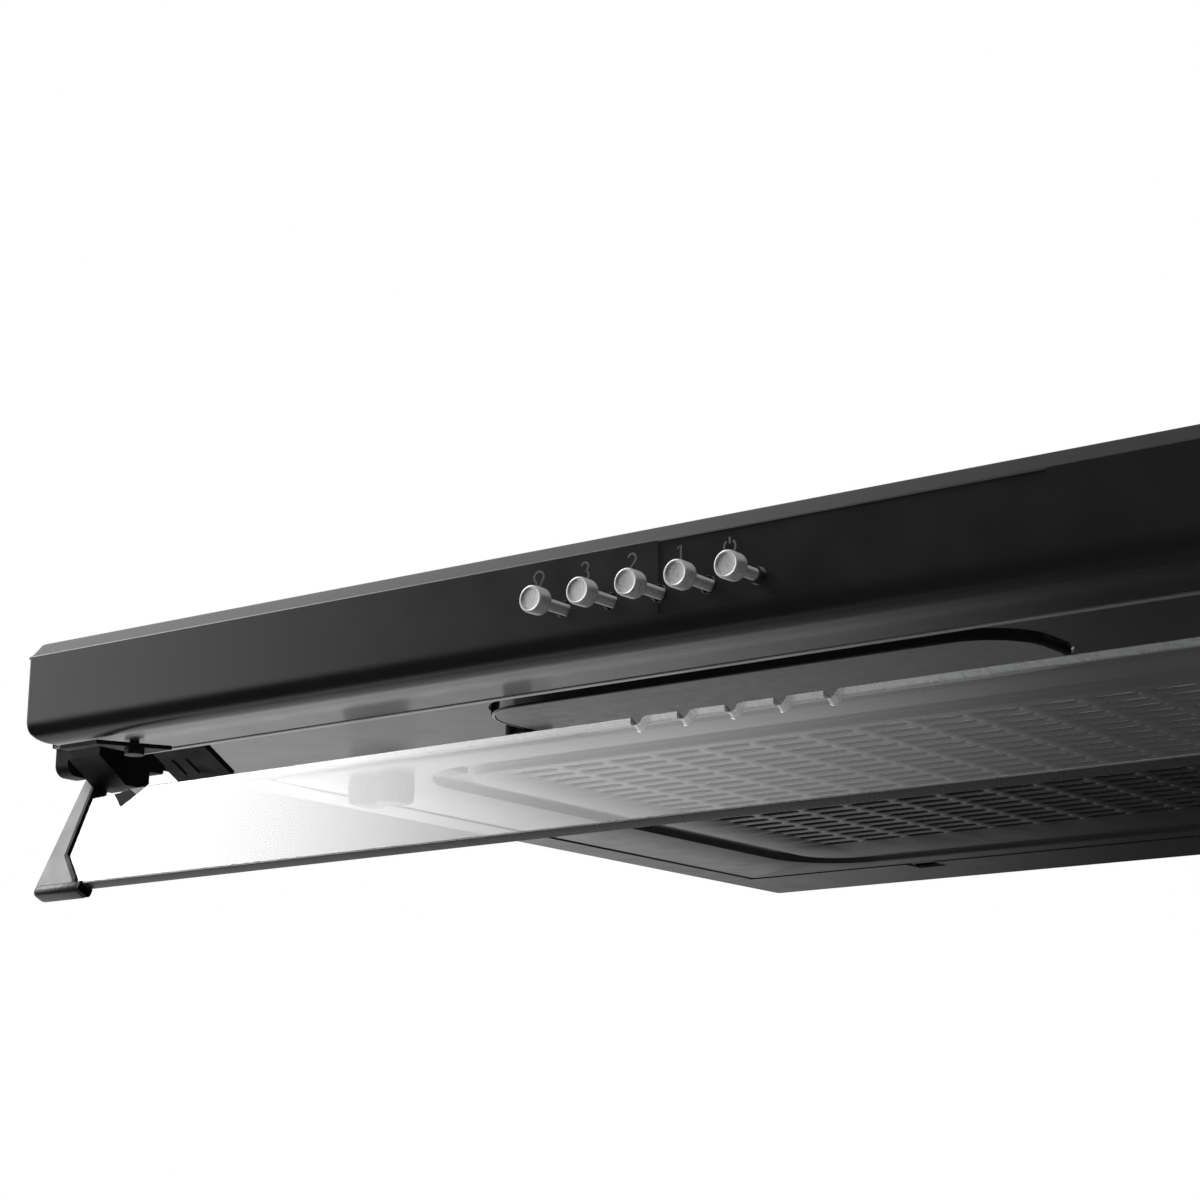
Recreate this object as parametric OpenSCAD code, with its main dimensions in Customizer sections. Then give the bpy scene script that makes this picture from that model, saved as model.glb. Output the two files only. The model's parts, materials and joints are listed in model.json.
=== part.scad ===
// Slim under cabinet range hood with a fold-out glass visor.
// X runs along the hood, Y back to the wall, Z up. The origin is the centre of the
// cabinet screw pattern on the flat top face.

/* [Body] */
// Width of the hood
hood_w = 600; // [590:5:700]
// Depth of the hood from fascia to wall
hood_d = 525; // [515:5:560]
// Height of the rear box above the underside
box_h = 82; // [80:1:100]
// Height of the low front part above the underside
front_h = 39.5; // [38:0.5:42]
// Depth of the low front part
low_d = 100; // [95:1:110]
// Depth over which the top slopes up to the rear box
slope_d = 36; // [30:1:50]
// Thickness of the sheet steel
sheet = 1; // [0.8:0.1:1.2]
// Width of the rim left and right of the grille
rim_side = 19; // [16:1:24]
// Depth of the rim behind the grille
rim_rear = 53; // [50:1:56]

/* [Fascia] */
// Depth of the light bevel along the top edge
bevel_d = 4.5; // [3:0.5:6]
// Height of the light bevel along the top edge
bevel_h = 5.8; // [4:0.2:7]
// Radius of the curve at the foot of the fascia
foot_r = 9; // [7:0.5:10]
// Radius of the upper corners seen from the front
top_corner_r = 5; // [4:0.5:7]
// Radius of the lower corners seen from the front
low_corner_r = 8; // [6:0.5:9]
// Depth of the fascia's end walls
fascia_d = 14; // [13:0.5:16]
// Distance of the folded lip behind the front face
lip_d = 39; // [37:0.5:40]
// Radius of the folded lip
lip_r = 1.5; // [1.2:0.1:1.8]

/* [Buttons] */
// Number of push buttons
button_count = 5; // [5]
// Distance between buttons
button_pitch = 19.2; // [18:0.1:21]
// Height of the button axes above the underside
button_h = 16; // [15:0.5:20]
// How far the button caps stand out
button_out = 17.5; // [12:0.5:19]
// Radius of a cap
cap_r = 4.6; // [4:0.1:5.5]
// Length of a cap
cap_len = 6; // [5:0.5:8]
// Radius of a stem
stem_r = 2; // [1.8:0.1:2.8]
// How far a button is pressed
button_travel = 4; // [3:0.5:5]

/* [Lamps] */
// Depth of the front underside strip's rear edge
strip_rear = 112; // [110:1:116]
// Left end of the lamp window
window_x0 = -119; // [-122:1:-112]
// Right end of the lamp window
window_x1 = 105; // [100:1:112]
// Front edge of the lamp window
window_d0 = 44.5; // [43:0.5:46]
// Rear edge of the lamp window
window_d1 = 102; // [99:1:104]
// Corner radius of the lamp window
window_r = 24; // [15:1:26]
// Distance the lens hangs below the underside
lens_drop = 2.5; // [1:0.5:4]
// Radius of a tubular lamp
lamp_r = 13; // [12:0.5:13]

/* [Visor] */
// Distance of the hinge axis behind the front face
visor_axis_d = 34; // [34]
// Depth of the hinge axis below the underside
visor_axis_drop = 11.5; // [11.5]
// Forward lean of the open visor
visor_lean = 26; // [22:1:30]
// Distance from the hinge axis to the visor's lower edge
visor_len = 49.5; // [46:0.5:54]
// Thickness of the glass
glass_t = 4; // [3:0.5:4]
// Distance from the hinge axis to the upper edge of the glass
glass_top = 6.5; // [4:0.5:7]
// Number of notches in the upper edge of the glass
notch_count = 5; // [3:1:7]
// Distance between the notches
notch_pitch = 19; // [17:0.5:21]
// Place of the middle notch
notch_x = 9; // [0:1:12]
// Radius of the hinge pins
pin_r = 2.5; // [2:0.1:2.8]

/* [Grille] */
// Columns of slots
slot_columns = 16; // [12:2:16]
// Rows of slots
slot_rows = 22; // [12:1:22]
// Distance between columns
column_pitch = 23.4; // [20:0.1:23.6]
// Distance between rows
row_pitch = 11; // [10:0.1:11.2]
// Length of a slot
slot_len = 18.6; // [15:0.1:18.8]
// Width of a slot
slot_w = 5; // [4:0.1:5.4]
// Distance of the first row behind the front face
slot_d0 = 160; // [156:1:162]
// Width of the pressed groove
groove_w = 17.5; // [14:0.5:18]
// Depth of the pressed groove
groove_rise = 2.5; // [2:0.1:3]
// Gap round the grille panel
panel_gap = 1.5; // [1.2:0.1:2]

/* [Blower] */
// Outer radius of the impeller
impeller_r = 75; // [70:1:78]
// Number of impeller blades
blade_count = 40; // [24:1:44]
// Radius of the motor
motor_r = 42; // [38:1:42]
// Radius of the motor shaft
shaft_r = 4; // [3:0.5:4]
// Width of the scroll outlet
outlet_w = 124; // [120:1:126]

/* [Outlet] */
// Outer radius of the duct collar
collar_r = 60; // [60]
// Height of the duct collar above the top
collar_h = 35; // [30:1:40]
// Distance of the collar's centre behind the front face
collar_d = 390; // [385:1:395]

/* [Mounting] */
// Distance between the cabinet screws along the hood
screw_span_x = 520; // [500:1:530]
// Distance between the cabinet screws front to back
screw_span_y = 300; // [290:1:310]
// Radius of the cabinet screw holes
screw_hole_r = 3; // [2.5:0.1:3.2]
// Distance of the screw pattern's centre behind the front face
screw_d = 315; // [310:1:318]

/* [Hidden] */

$fn = 48;
half_w = hood_w / 2;
inner_x = half_w - sheet;
strip_h = 1;                       // underside of the front strip
run = 0.05;                        // radial clearance of a pin in its bore
button_x = [for (i = [0:button_count - 1]) (i - (button_count - 1) / 2) * button_pitch];

// grille
rim_x = half_w - rim_side;
rim_d1 = hood_d - rim_rear;
panel_x = rim_x - panel_gap;
panel_d0 = strip_rear + panel_gap;
panel_d1 = rim_d1 - panel_gap;
panel_lip = 8;                     // height of the panel's turned-up edge
groove_x = 232;                    // outer half width of the groove
groove_d0 = 134;
groove_d1 = 454;
groove_r = 40;
grille_axis_d = rim_d1 + 4;
grille_axis_h = 3;
grille_lugs_x = [-180, 180];
grille_pin_r = 1.5;
lug_r = 3;
lug_w = 14;

// latch
latch_x = 248;                     // centre of the knob, from the middle
latch_d = 146;
latch_travel = 10;
bolt_w = 14;

// visor
glass_front = -2.75;               // front surface of the glass from the hinge axis
cap_end = 0.8;                     // gap between the hood's end and the cap
knuckle_w = 8;
housing_e1 = 26;
plate_e1 = 54;
tongue_t = 1.6;
tongue_d0 = 10.5;

// blower
scroll_x = -75;
scroll_d = 265;
scroll_h0 = 20;
scroll_h1 = 79;
scroll_wall = 2;
tongue_r = 84;
inlet_r = 60;
motor_h0 = 47;
motor_h1 = 79;

// ---------- helpers ----------

// children are placed from the front face and the underside: [x, distance back, height]
module from_front() translate([0, -screw_d, -box_h]) children();

// a 2D outline in (distance back, height), extruded from x0 to x1
module side_prism(x0, x1)
    translate([x0, 0, 0]) rotate([90, 0, 90]) linear_extrude(x1 - x0) children();

// a 2D outline in (x, height), extruded from d0 to d1
module front_prism(d0, d1)
    translate([0, d1, 0]) rotate([90, 0, 0]) linear_extrude(d1 - d0) children();

module x_rod(r, x0, x1, d, h) translate([x0, d, h]) rotate([0, 90, 0]) cylinder(r = r, h = x1 - x0);

module y_rod(r, d0, d1, x, h) translate([x, d0, h]) rotate([-90, 0, 0]) cylinder(r = r, h = d1 - d0);

module z_rod(r, h0, h1, x, d) translate([x, d, h0]) cylinder(r = r, h = h1 - h0);

module block(x0, x1, d0, d1, h0, h1) translate([x0, d0, h0]) cube([x1 - x0, d1 - d0, h1 - h0]);

// rounded rectangle in 2D
module round_rect(x0, x1, y0, y1, r) {
    translate([x0 + r, y0]) square([x1 - x0 - 2 * r, y1 - y0]);
    translate([x0, y0 + r]) square([x1 - x0, y1 - y0 - 2 * r]);
    for (x = [x0 + r, x1 - r], y = [y0 + r, y1 - r]) translate([x, y]) circle(r);
}

// the left or right end of the hood, with x counted inwards from the end
module at_end(side) mirror([side > 0 ? 1 : 0, 0, 0]) translate([-half_w, 0, 0]) children();

// pan head screw pointing up: the head's top is at height h
module screw_up(x, d, h, len = 8, r = 1.9) {
    z_rod(r, h, h + len, x, d);
    z_rod(2 * r, h - 2, h, x, d);
}

// pan head screw pointing down
module screw_down(x, d, h, len = 8, r = 1.9) {
    z_rod(r, h - len, h, x, d);
    z_rod(2 * r, h, h + 2, x, d);
}

module visor_frame()
    from_front() translate([0, visor_axis_d, -visor_axis_drop]) rotate([-visor_lean, 0, 0]) children();

// ---------- body ----------

switch_screws_x = [-56, 56];
switch_screws_d = 27;
bracket_screw_e = 31;
bracket_screw_d = 28;
screw_x = [-screw_span_x / 2, screw_span_x / 2];
screw_rows = [screw_d - screw_span_y / 2, screw_d + screw_span_y / 2];
gland_x = -235;
gland_d = 440;
collar_screw_r = 66;
collar_screw_angles = [45, 135, 225, 315];

module canopy_outline(t)
    polygon([
        [fascia_d - (t > 0 ? 1 : 0), t], [hood_d - t, t], [hood_d - t, box_h - t],
        [low_d + slope_d + 0.4 * t, box_h - t], [low_d + 0.4 * t, front_h - t],
        [fascia_d - (t > 0 ? 1 : 0), front_h - t]
    ]);

// one folded sheet: low front top, slope, top, rear wall and rear rim
module canopy_shell()
    color([0.13, 0.13, 0.14]) from_front() difference() {
        side_prism(-inner_x, inner_x) canopy_outline(0);
        side_prism(-half_w, half_w) canopy_outline(sheet);
        // the front bay and the grille opening
        block(-half_w, half_w, 0, rim_d1, -1, 2 * sheet);
        // duct, cable and screw holes in the top
        z_rod(collar_r - 1.5, box_h - 5, box_h + 5, 0, collar_d);
        z_rod(6, box_h - 5, box_h + 5, gland_x, gland_d);
        for (x = screw_x, d = screw_rows) z_rod(screw_hole_r, box_h - 5, box_h + 5, x, d);
        for (a = collar_screw_angles)
            z_rod(2.1, box_h - 5, box_h + 5, collar_screw_r * cos(a), collar_d + collar_screw_r * sin(a));
        for (x = switch_screws_x) z_rod(2.1, front_h - 5, front_h + 5, x, switch_screws_d);
        // room for the grille's hinge lugs
        for (x = grille_lugs_x) block(x - lug_w / 2 - 1, x + lug_w / 2 + 1, rim_d1 - 1, rim_d1 + 14, -1, 2);
    }

// end panel with the rim beside the grille turned in at its foot
module side_panel(side)
    color([0.14, 0.14, 0.15]) from_front() at_end(side) {
        side_prism(0, sheet) canopy_outline(0);
        block(sheet / 2, rim_side, strip_rear, rim_d1, 0, sheet);
    }

module side_panel_left() side_panel(-1);
module side_panel_right() side_panel(1);

// ---------- fascia ----------

module fascia_outline(t) {
    open_d = fascia_d + (t > 0 ? 1 : 0);
    intersection() {
        translate([foot_r, foot_r]) circle(foot_r - t);
        square(foot_r);
    }
    translate([foot_r, t]) square([open_d - foot_r, foot_r]);
    polygon([
        [t, foot_r], [open_d, foot_r], [open_d, front_h - t], [bevel_d + 0.5 * t, front_h - t],
        [t, front_h - bevel_h - 0.5 * t]
    ]);
}

module fascia_front_outline(t) {
    w = half_w - t;
    r0 = low_corner_r - t;
    r1 = top_corner_r - t;
    for (s = [-1, 1]) {
        translate([s * (w - r0), low_corner_r]) circle(r0);
        translate([s * (w - r1), front_h - top_corner_r]) circle(r1);
    }
    translate([-w + r0, t]) square([2 * (w - r0), low_corner_r]);
    translate([-w + r1, front_h - top_corner_r]) square([2 * (w - r1), top_corner_r - t]);
    translate([-w, low_corner_r]) square([2 * w, front_h - low_corner_r - top_corner_r]);
}

module fascia_solid(t)
    intersection() {
        side_prism(-half_w - 1, half_w + 1) fascia_outline(t);
        front_prism(-1, fascia_d + 2) fascia_front_outline(t);
    }

module front_fascia()
    color([0.16, 0.16, 0.17]) from_front() difference() {
        union() {
            difference() {
                fascia_solid(0);
                fascia_solid(sheet);
            }
            // return flange with its folded lip
            block(-inner_x + 0.1, inner_x - 0.1, fascia_d - 0.5, lip_d, 0, sheet);
            x_rod(lip_r, -inner_x + 0.1, inner_x - 0.1, lip_d, 0.5);
        }
        for (x = button_x) y_rod(stem_r + 0.4, -1, 3, x, button_h);
        for (s = [-1, 1]) z_rod(2.1, -1, 2, s * (half_w - bracket_screw_e), bracket_screw_d);
    }

module switch_screws()
    color([0.6, 0.6, 0.62]) from_front()
        for (x = switch_screws_x) screw_down(x, switch_screws_d, front_h, 5);

// ---------- lamp bay ----------

module window_outline(inset)
    round_rect(window_x0 + inset, window_x1 - inset, window_d0 + inset, window_d1 - inset,
        window_r - inset);

module front_strip()
    color([0.22, 0.22, 0.22]) from_front() {
        translate([0, 0, strip_h]) linear_extrude(sheet) difference() {
            translate([-inner_x + 0.2, lip_d + lip_r + 0.1])
                square([2 * inner_x - 0.4, strip_rear - lip_d - lip_r - 0.1]);
            window_outline(0);
        }
        // turned-up rear edge
        block(-rim_x + 2, rim_x - 2, strip_rear - sheet, strip_rear, strip_h, strip_h + 10);
    }

tray_x = 125;
tray_d0 = 41;
tray_d1 = 108;
tray_h = 36;

module lamp_tray()
    color([0.75, 0.76, 0.78]) from_front() difference() {
        block(-tray_x, tray_x, tray_d0, tray_d1, strip_h + sheet, tray_h);
        block(-tray_x + 0.8, tray_x - 0.8, tray_d0 + 0.8, tray_d1 - 0.8, strip_h + sheet + 1, tray_h - 0.8);
        translate([0, 0, -1]) linear_extrude(6) window_outline(0);
        for (x = [-tray_x, tray_x]) x_rod(4, x - 2, x + 2, 60, 20);
    }

lens_t = 2;
run_gap = 0.8;

// hanging lens: a flat tray with hooks on its rear wall that rest on the lamp tray's floor
module lamp_diffuser()
    color([0.72, 0.72, 0.7, 0.9]) from_front() {
        difference() {
            translate([0, 0, -lens_drop]) linear_extrude(lens_drop + 3.6) window_outline(run_gap);
            translate([0, 0, -lens_drop + lens_t]) linear_extrude(lens_drop + 9)
                window_outline(run_gap + lens_t);
        }
        for (x = [window_x0 + 30, window_x1 - 30])
            block(x - 8, x + 8, window_d1 - run_gap - lens_t, window_d1 + 2, 3.1, 4.3);
    }

catch_x = -127;
catch_d = 84;
catch_h = -lens_drop - 1.5;

module diffuser_catch()
    color([0.06, 0.06, 0.06]) from_front() {
        z_rod(3, catch_h, strip_h, catch_x, catch_d);
        side_prism(catch_x - 1, window_x0 - 0.6) polygon([
            [catch_d - 3, strip_h], [catch_d + 4, strip_h], [catch_d + 2, catch_h], [catch_d - 2, catch_h]
        ]);
        // tongue under the lens
        block(catch_x, window_x0 + 9, catch_d - 2, catch_d + 2, catch_h, -lens_drop - 0.4);
    }

// lamp holder in local coordinates: s is -1 for the left one
module lamp_holder(s)
    color([0.86, 0.85, 0.82]) from_front() difference() {
        union() {
            x_rod(12, s > 0 ? 96 : -112, s > 0 ? 112 : -96, 72, 19.5);
            block(s > 0 ? 108 : -112, s > 0 ? 112 : -108, 62, 82, 19.5, tray_h - 0.8);
        }
        x_rod(7.2, s > 0 ? 94 : -108, s > 0 ? 108 : -94, 72, 19.5);
    }

module lamp(s)
    color([0.95, 0.94, 0.9]) from_front() translate([0, 72, 19.5])
        rotate([0, s > 0 ? 90 : -90, 0]) {
            // screw cap, neck, tube and round nose along the lamp's axis
            translate([0, 0, 84]) cylinder(r = 7, h = 23);
            translate([0, 0, 76]) cylinder(r1 = lamp_r - 1, r2 = 7, h = 8);
            translate([0, 0, 24]) cylinder(r = lamp_r - 1, h = 52);
            translate([0, 0, 24]) sphere(lamp_r - 1);
        }

module lamp_holder_left() lamp_holder(-1);
module lamp_holder_right() lamp_holder(1);
module lamp_left() lamp(-1);
module lamp_right() lamp(1);

// ---------- buttons ----------

bank_d0 = 20;
bank_d1 = 38;

module switch_bank()
    color([0.08, 0.08, 0.09]) from_front() difference() {
        union() {
            block(-52, 52, bank_d0, bank_d1, 8, 28);
            // mounting plate against the fascia's top
            block(-60, 60, 16, bank_d0, 28, 30);
            block(-60, 60, bank_d0 - 2, bank_d0, 6, 30);
            block(-60, 60, 16, bank_d1, 36, front_h - sheet);
            block(-60, 60, bank_d1 - 2, bank_d1, 28, front_h - sheet);
        }
        for (x = button_x) y_rod(stem_r + run, bank_d0 - 3, bank_d0 + 15, x, button_h);
        for (x = switch_screws_x) z_rod(2.1, 30, front_h, x, switch_screws_d);
    }

module button(i)
    color([0.72, 0.72, 0.73]) from_front() {
        x = button_x[i];
        y_rod(cap_r, -button_out + 0.5, -button_out + cap_len, x, button_h);
        // raised rim round the pressing face
        difference() {
            y_rod(cap_r, -button_out, -button_out + 1, x, button_h);
            y_rod(cap_r - 0.8, -button_out - 1, -button_out + 0.5, x, button_h);
        }
        y_rod(stem_r, -button_out + cap_len - 0.1, bank_d0 + 6, x, button_h);
        y_rod(stem_r + 1, 6, 7.5, x, button_h);
    }

module button_light() button(0);
module button_speed_3() button(1);
module button_speed_2() button(2);
module button_speed_1() button(3);
module button_power() button(4);

// ---------- visor ----------

module hinge_bracket(side)
    color([0.05, 0.05, 0.05]) from_front() at_end(side) difference() {
        union() {
            // outer boss with its rounded foot
            side_prism(1.5, 8.6) {
                translate([19.5, -6.5]) circle(4.5);
                translate([25.5, -6.5]) circle(4.5);
                translate([19.5, -11]) square([6, 8]);
                translate([15, -6.5]) square([15, 6.5]);
            }
            // housing that carries the pin
            side_prism(8.5, housing_e1) polygon([
                [15, 0], [15, -5], [22, -9.5], [29, -14.6], [38, -14.8],
                [41, -12.5], [41, -7.6], [48, -7.6], [50, 0]
            ]);
            // tongue on the fascia's return flange
            translate([0, 0, -tongue_t]) linear_extrude(tongue_t) polygon([
                [8.5, tongue_d0], [housing_e1 + 3, tongue_d0], [housing_e1 + 17, 36], [8.5, 36]
            ]);
            // sloping rear plate under the front strip, with two ribs
            side_prism(housing_e1 - 1, plate_e1)
                polygon([[41.5, 0.9], [41.5, 0], [58, -9.6], [59.2, -7.6], [44.6, 0.9]]);
            for (e = [32, 39]) side_prism(e, e + 1.4)
                polygon([[46.8, -2.5], [54.2, -6.8], [53.4, -8.1], [46, -3.8]]);
        }
        // groove for the fascia's lip
        block(-1, 60, lip_d - lip_r - 0.4, lip_d + lip_r + 0.4, -lip_r, 2);
        x_rod(pin_r, cap_end, housing_e1 - 4, visor_axis_d, -visor_axis_drop);
        z_rod(2.1, -20, 2, bracket_screw_e, bracket_screw_d);
    }

module hinge_bracket_left() hinge_bracket(-1);
module hinge_bracket_right() hinge_bracket(1);

module hinge_pins()
    color([0.7, 0.7, 0.72]) from_front()
        for (side = [-1, 1]) at_end(side)
            x_rod(pin_r, cap_end, housing_e1 - 4, visor_axis_d, -visor_axis_drop);

module bracket_screws()
    color([0.55, 0.55, 0.57]) from_front()
        for (side = [-1, 1]) at_end(side) screw_up(bracket_screw_e, bracket_screw_d, -tongue_t, 6);

// visor outlines in (x, height along the visor)
module visor_cap(side)
    color([0.58, 0.57, 0.59]) visor_frame() at_end(side) difference() {
        union() {
            front_prism(-3.4, 3.4) polygon([
                [cap_end, -1], [knuckle_w, -1], [8.6, -10], [11, -36], [22.5, -visor_len + 1],
                [22.5, -visor_len], [cap_end, -visor_len]
            ]);
            x_rod(4.6, cap_end, knuckle_w, 0, 0);
            // rounded foot along the lower edge
            front_prism(-4, 3.4) {
                translate([cap_end + 3, -visor_len]) square([25, 4]);
                translate([cap_end + 3, -visor_len - 0.4]) circle(2.4);
                translate([cap_end + 3, -visor_len - 2.8]) square([25, 3]);
            }
        }
        x_rod(pin_r + run, -2, knuckle_w + 1, 0, 0);
        // channel for the glass
        front_prism(glass_front, glass_front + glass_t) glass_outline();
    }

module visor_cap_left() visor_cap(-1);
module visor_cap_right() visor_cap(1);

// one half of the glass, from the end to the middle
module glass_outline() {
    polygon([
        [housing_e1 + 2, -glass_top], [housing_e1 - 2, -glass_top - 1.5], [6, -9], [7, -36],
        [19, -visor_len + 3], [19, -visor_len], [half_w + 1, -visor_len], [half_w + 1, -glass_top]
    ]);
}

module visor_glass()
    color([0.85, 0.88, 0.9, 0.45]) visor_frame() difference() {
        for (side = [-1, 1]) at_end(side) front_prism(glass_front, glass_front + glass_t) glass_outline();
        for (i = [0:notch_count - 1]) {
            x = notch_x + (i - (notch_count - 1) / 2) * notch_pitch;
            y_rod(2, -10, 10, x, -glass_top - 1.5);
            block(x - 2, x + 2, -10, 10, -glass_top - 1.5, 0);
        }
    }

// ---------- grille ----------

module panel_outline() translate([-panel_x, panel_d0]) square([2 * panel_x, panel_d1 - panel_d0]);

module groove_ring(grow)
    difference() {
        round_rect(-groove_x - grow, groove_x + grow, groove_d0 - grow, groove_d1 + grow, groove_r + grow);
        round_rect(-groove_x + groove_w + grow, groove_x - groove_w - grow, groove_d0 + groove_w + grow,
            groove_d1 - groove_w - grow, groove_r - groove_w - grow);
    }

module slots() {
    field_x = -slot_columns * column_pitch / 2 + (column_pitch - slot_len) / 2;
    for (i = [0:slot_columns - 1], j = [0:slot_rows - 1])
        translate([field_x + i * column_pitch, slot_d0 + j * row_pitch - slot_w / 2])
            square([slot_len, slot_w]);
}

module grille_panel()
    color([0.15, 0.15, 0.155]) from_front() difference() {
        union() {
            linear_extrude(sheet) difference() {
                panel_outline();
                groove_ring(0);
                slots();
            }
            // pressed groove: its floor and both walls
            translate([0, 0, groove_rise]) linear_extrude(sheet) groove_ring(1);
            linear_extrude(groove_rise + 0.1) difference() {
                groove_ring(1);
                groove_ring(0);
            }
            // turned-up edges
            for (x = [-panel_x, panel_x - sheet])
                block(x, x + sheet, panel_d0, panel_d1, 0, panel_lip);
            for (d = [panel_d0, panel_d1 - sheet])
                block(-panel_x, panel_x, d, d + sheet, 0, panel_lip);
            // hinge lugs
            for (x = grille_lugs_x) translate([x, 0, 0]) {
                x_rod(lug_r, -lug_w / 2, lug_w / 2, grille_axis_d, grille_axis_h);
                block(-lug_w / 2, lug_w / 2, panel_d1 - sheet, grille_axis_d, 1.5, grille_axis_h + lug_r);
            }
        }
        for (x = grille_lugs_x)
            x_rod(grille_pin_r + run, x - lug_w, x + lug_w, grille_axis_d, grille_axis_h);
        // way for the latch bolts and slots for their knobs
        for (s = [-1, 1]) {
            block(s * panel_x - 3, s * panel_x + 3, latch_d - bolt_w / 2 - 0.5, latch_d + bolt_w / 2 + 0.5,
                sheet + 0.1, panel_lip + 1);
            block(s * (latch_x - latch_travel / 2) - latch_travel / 2 - 5.5,
                s * (latch_x - latch_travel / 2) + latch_travel / 2 + 5.5,
                latch_d - 3.5, latch_d + 3.5, -1, 2);
        }
    }

clip_t = 2;

module grille_hinge_clips()
    color([0.6, 0.6, 0.62]) from_front()
        for (x = grille_lugs_x, s = [-1, 1]) translate([x, 0, 0]) difference() {
            union() {
                block(s > 0 ? lug_w / 2 + 1 : -lug_w / 2 - 1 - clip_t,
                    s > 0 ? lug_w / 2 + 1 + clip_t : -lug_w / 2 - 1, rim_d1 + 0.5, rim_d1 + 10, sheet, 7);
                block(s > 0 ? lug_w / 2 + 1 : -lug_w / 2 - 13, s > 0 ? lug_w / 2 + 13 : -lug_w / 2 - 1,
                    rim_d1 + 0.5, rim_d1 + 10, sheet, sheet + 1.2);
            }
            x_rod(grille_pin_r, -30, 30, grille_axis_d, grille_axis_h);
        }

module grille_hinge_pins()
    color([0.7, 0.7, 0.72]) from_front()
        for (x = grille_lugs_x)
            x_rod(grille_pin_r, x - lug_w / 2 - 4, x + lug_w / 2 + 4, grille_axis_d, grille_axis_h);

filter_x = 232;
filter_d0 = 122;
filter_d1 = 456;
filter_h0 = groove_rise + sheet;
filter_t = 9;

module grease_filter()
    color([0.7, 0.71, 0.72]) from_front()
        block(-filter_x, filter_x, filter_d0, filter_d1, filter_h0, filter_h0 + filter_t);

wire_r = 1.2;

module filter_wires()
    color([0.8, 0.8, 0.8]) from_front()
        for (x = [-150, 0, 150]) {
            h = filter_h0 + filter_t + wire_r + 0.3;
            y_rod(wire_r, filter_d0 - 3, filter_d1 + 3, x, h);
            for (d = [filter_d0 - 3, filter_d1 + 3]) {
                translate([x, d, h]) sphere(wire_r + 0.3);
                z_rod(wire_r, sheet, h, x, d);
            }
        }

module latch(side)
    color([0.2, 0.2, 0.2]) from_front() mirror([side > 0 ? 1 : 0, 0, 0]) translate([-latch_x, latch_d, 0]) {
        // finger grip with two lobes and a waist
        linear_extrude_down(8.5) difference() {
            round_rect(-13, 13, -8, 8, 3);
            for (s = [-1, 1]) translate([0, s * 9.5]) circle(4.5);
        }
        // neck through the panel
        block(-5, 5, -3, 3, -1, 2);
        // bolt over the rim
        block(-(half_w - latch_x) + 10, 7, -bolt_w / 2, bolt_w / 2, sheet + 0.2, sheet + 2.2);
    }

module linear_extrude_down(h) translate([0, 0, -h - 0.3]) linear_extrude(h) children();

module latch_left() latch(-1);
module latch_right() latch(1);

module latch_guides()
    color([0.3, 0.3, 0.3]) from_front()
        for (s = [-1, 1]) translate([s * (latch_x + 16), latch_d, 0]) {
            block(-4, 4, bolt_w / 2 + 0.3, bolt_w / 2 + 2.3, sheet, sheet + 3.7);
            block(-4, 4, -bolt_w / 2 - 2.3, -bolt_w / 2 - 0.3, sheet, sheet + 3.7);
            block(-4, 4, -bolt_w / 2 - 2.3, bolt_w / 2 + 2.3, sheet + 2.5, sheet + 3.7);
        }

// ---------- blower ----------

// the scroll's radius grows with the angle from its tongue, which points to the outlet side
scroll_steps = 40;
scroll_end_r = -scroll_x + outlet_w / 2;
scroll_turn = 0.86;
function scroll_point(i, t) =
    let (
        a = 360 - 360 * i / scroll_steps * scroll_turn,
        r = scroll_end_r - (scroll_end_r - tongue_r) * i / scroll_steps - t
    )
    [r * cos(a), r * sin(a)];

outlet_d1 = collar_d + 66;

module scroll_outline(t) {
    polygon([for (i = [0:scroll_steps]) scroll_point(i, t)]);
    translate([-scroll_x - outlet_w / 2 + t, 0])
        square([outlet_w - 2 * t, outlet_d1 - scroll_d - t]);
}

module scroll_housing()
    color([0.25, 0.25, 0.26]) from_front() translate([scroll_x, scroll_d, 0]) difference() {
        union() {
            translate([0, 0, scroll_h0]) linear_extrude(scroll_h1 - scroll_h0) scroll_outline(0);
            for (p = scroll_ears) z_rod(ear_r, scroll_h1 - ear_t, scroll_h1, p[0], p[1]);
        }
        for (p = scroll_ears) z_rod(2.1, scroll_h1 - ear_t - 1, scroll_h1 + 1, p[0], p[1]);
        translate([0, 0, scroll_h0 + scroll_wall]) linear_extrude(scroll_h1) scroll_outline(scroll_wall);
        z_rod(inlet_r, scroll_h0 - 5, scroll_h0 + 5, 0, 0);
    }

// screw ears round the scroll, just outside its wall
ear_r = 7;
ear_out = 4.5;
ear_t = 4;
outlet_x0 = -scroll_x - outlet_w / 2;
outlet_x1 = -scroll_x + outlet_w / 2;
scroll_ears = concat(
    [for (i = [4, 16, 28]) scroll_point(i, -ear_out)],
    [[outlet_x0 - ear_out, 150], [outlet_x1 + ear_out, 150]]
);

module scroll_cover()
    color([0.55, 0.56, 0.57]) from_front() difference() {
        translate([scroll_x, scroll_d, scroll_h1]) {
            linear_extrude(sheet) scroll_outline(0);
            for (p = scroll_ears) z_rod(ear_r, 0, sheet, p[0], p[1]);
        }
        z_rod(collar_r - 1.5, scroll_h1 - 5, scroll_h1 + 5, 0, collar_d);
        for (p = scroll_ears) z_rod(2.1, scroll_h1 - 5, scroll_h1 + 5, scroll_x + p[0], scroll_d + p[1]);
    }

module scroll_screws()
    color([0.6, 0.6, 0.62]) from_front()
        for (p = scroll_ears) screw_up(scroll_x + p[0], scroll_d + p[1], scroll_h1 - ear_t, ear_t + sheet);

blade_r0 = 62;

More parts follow.
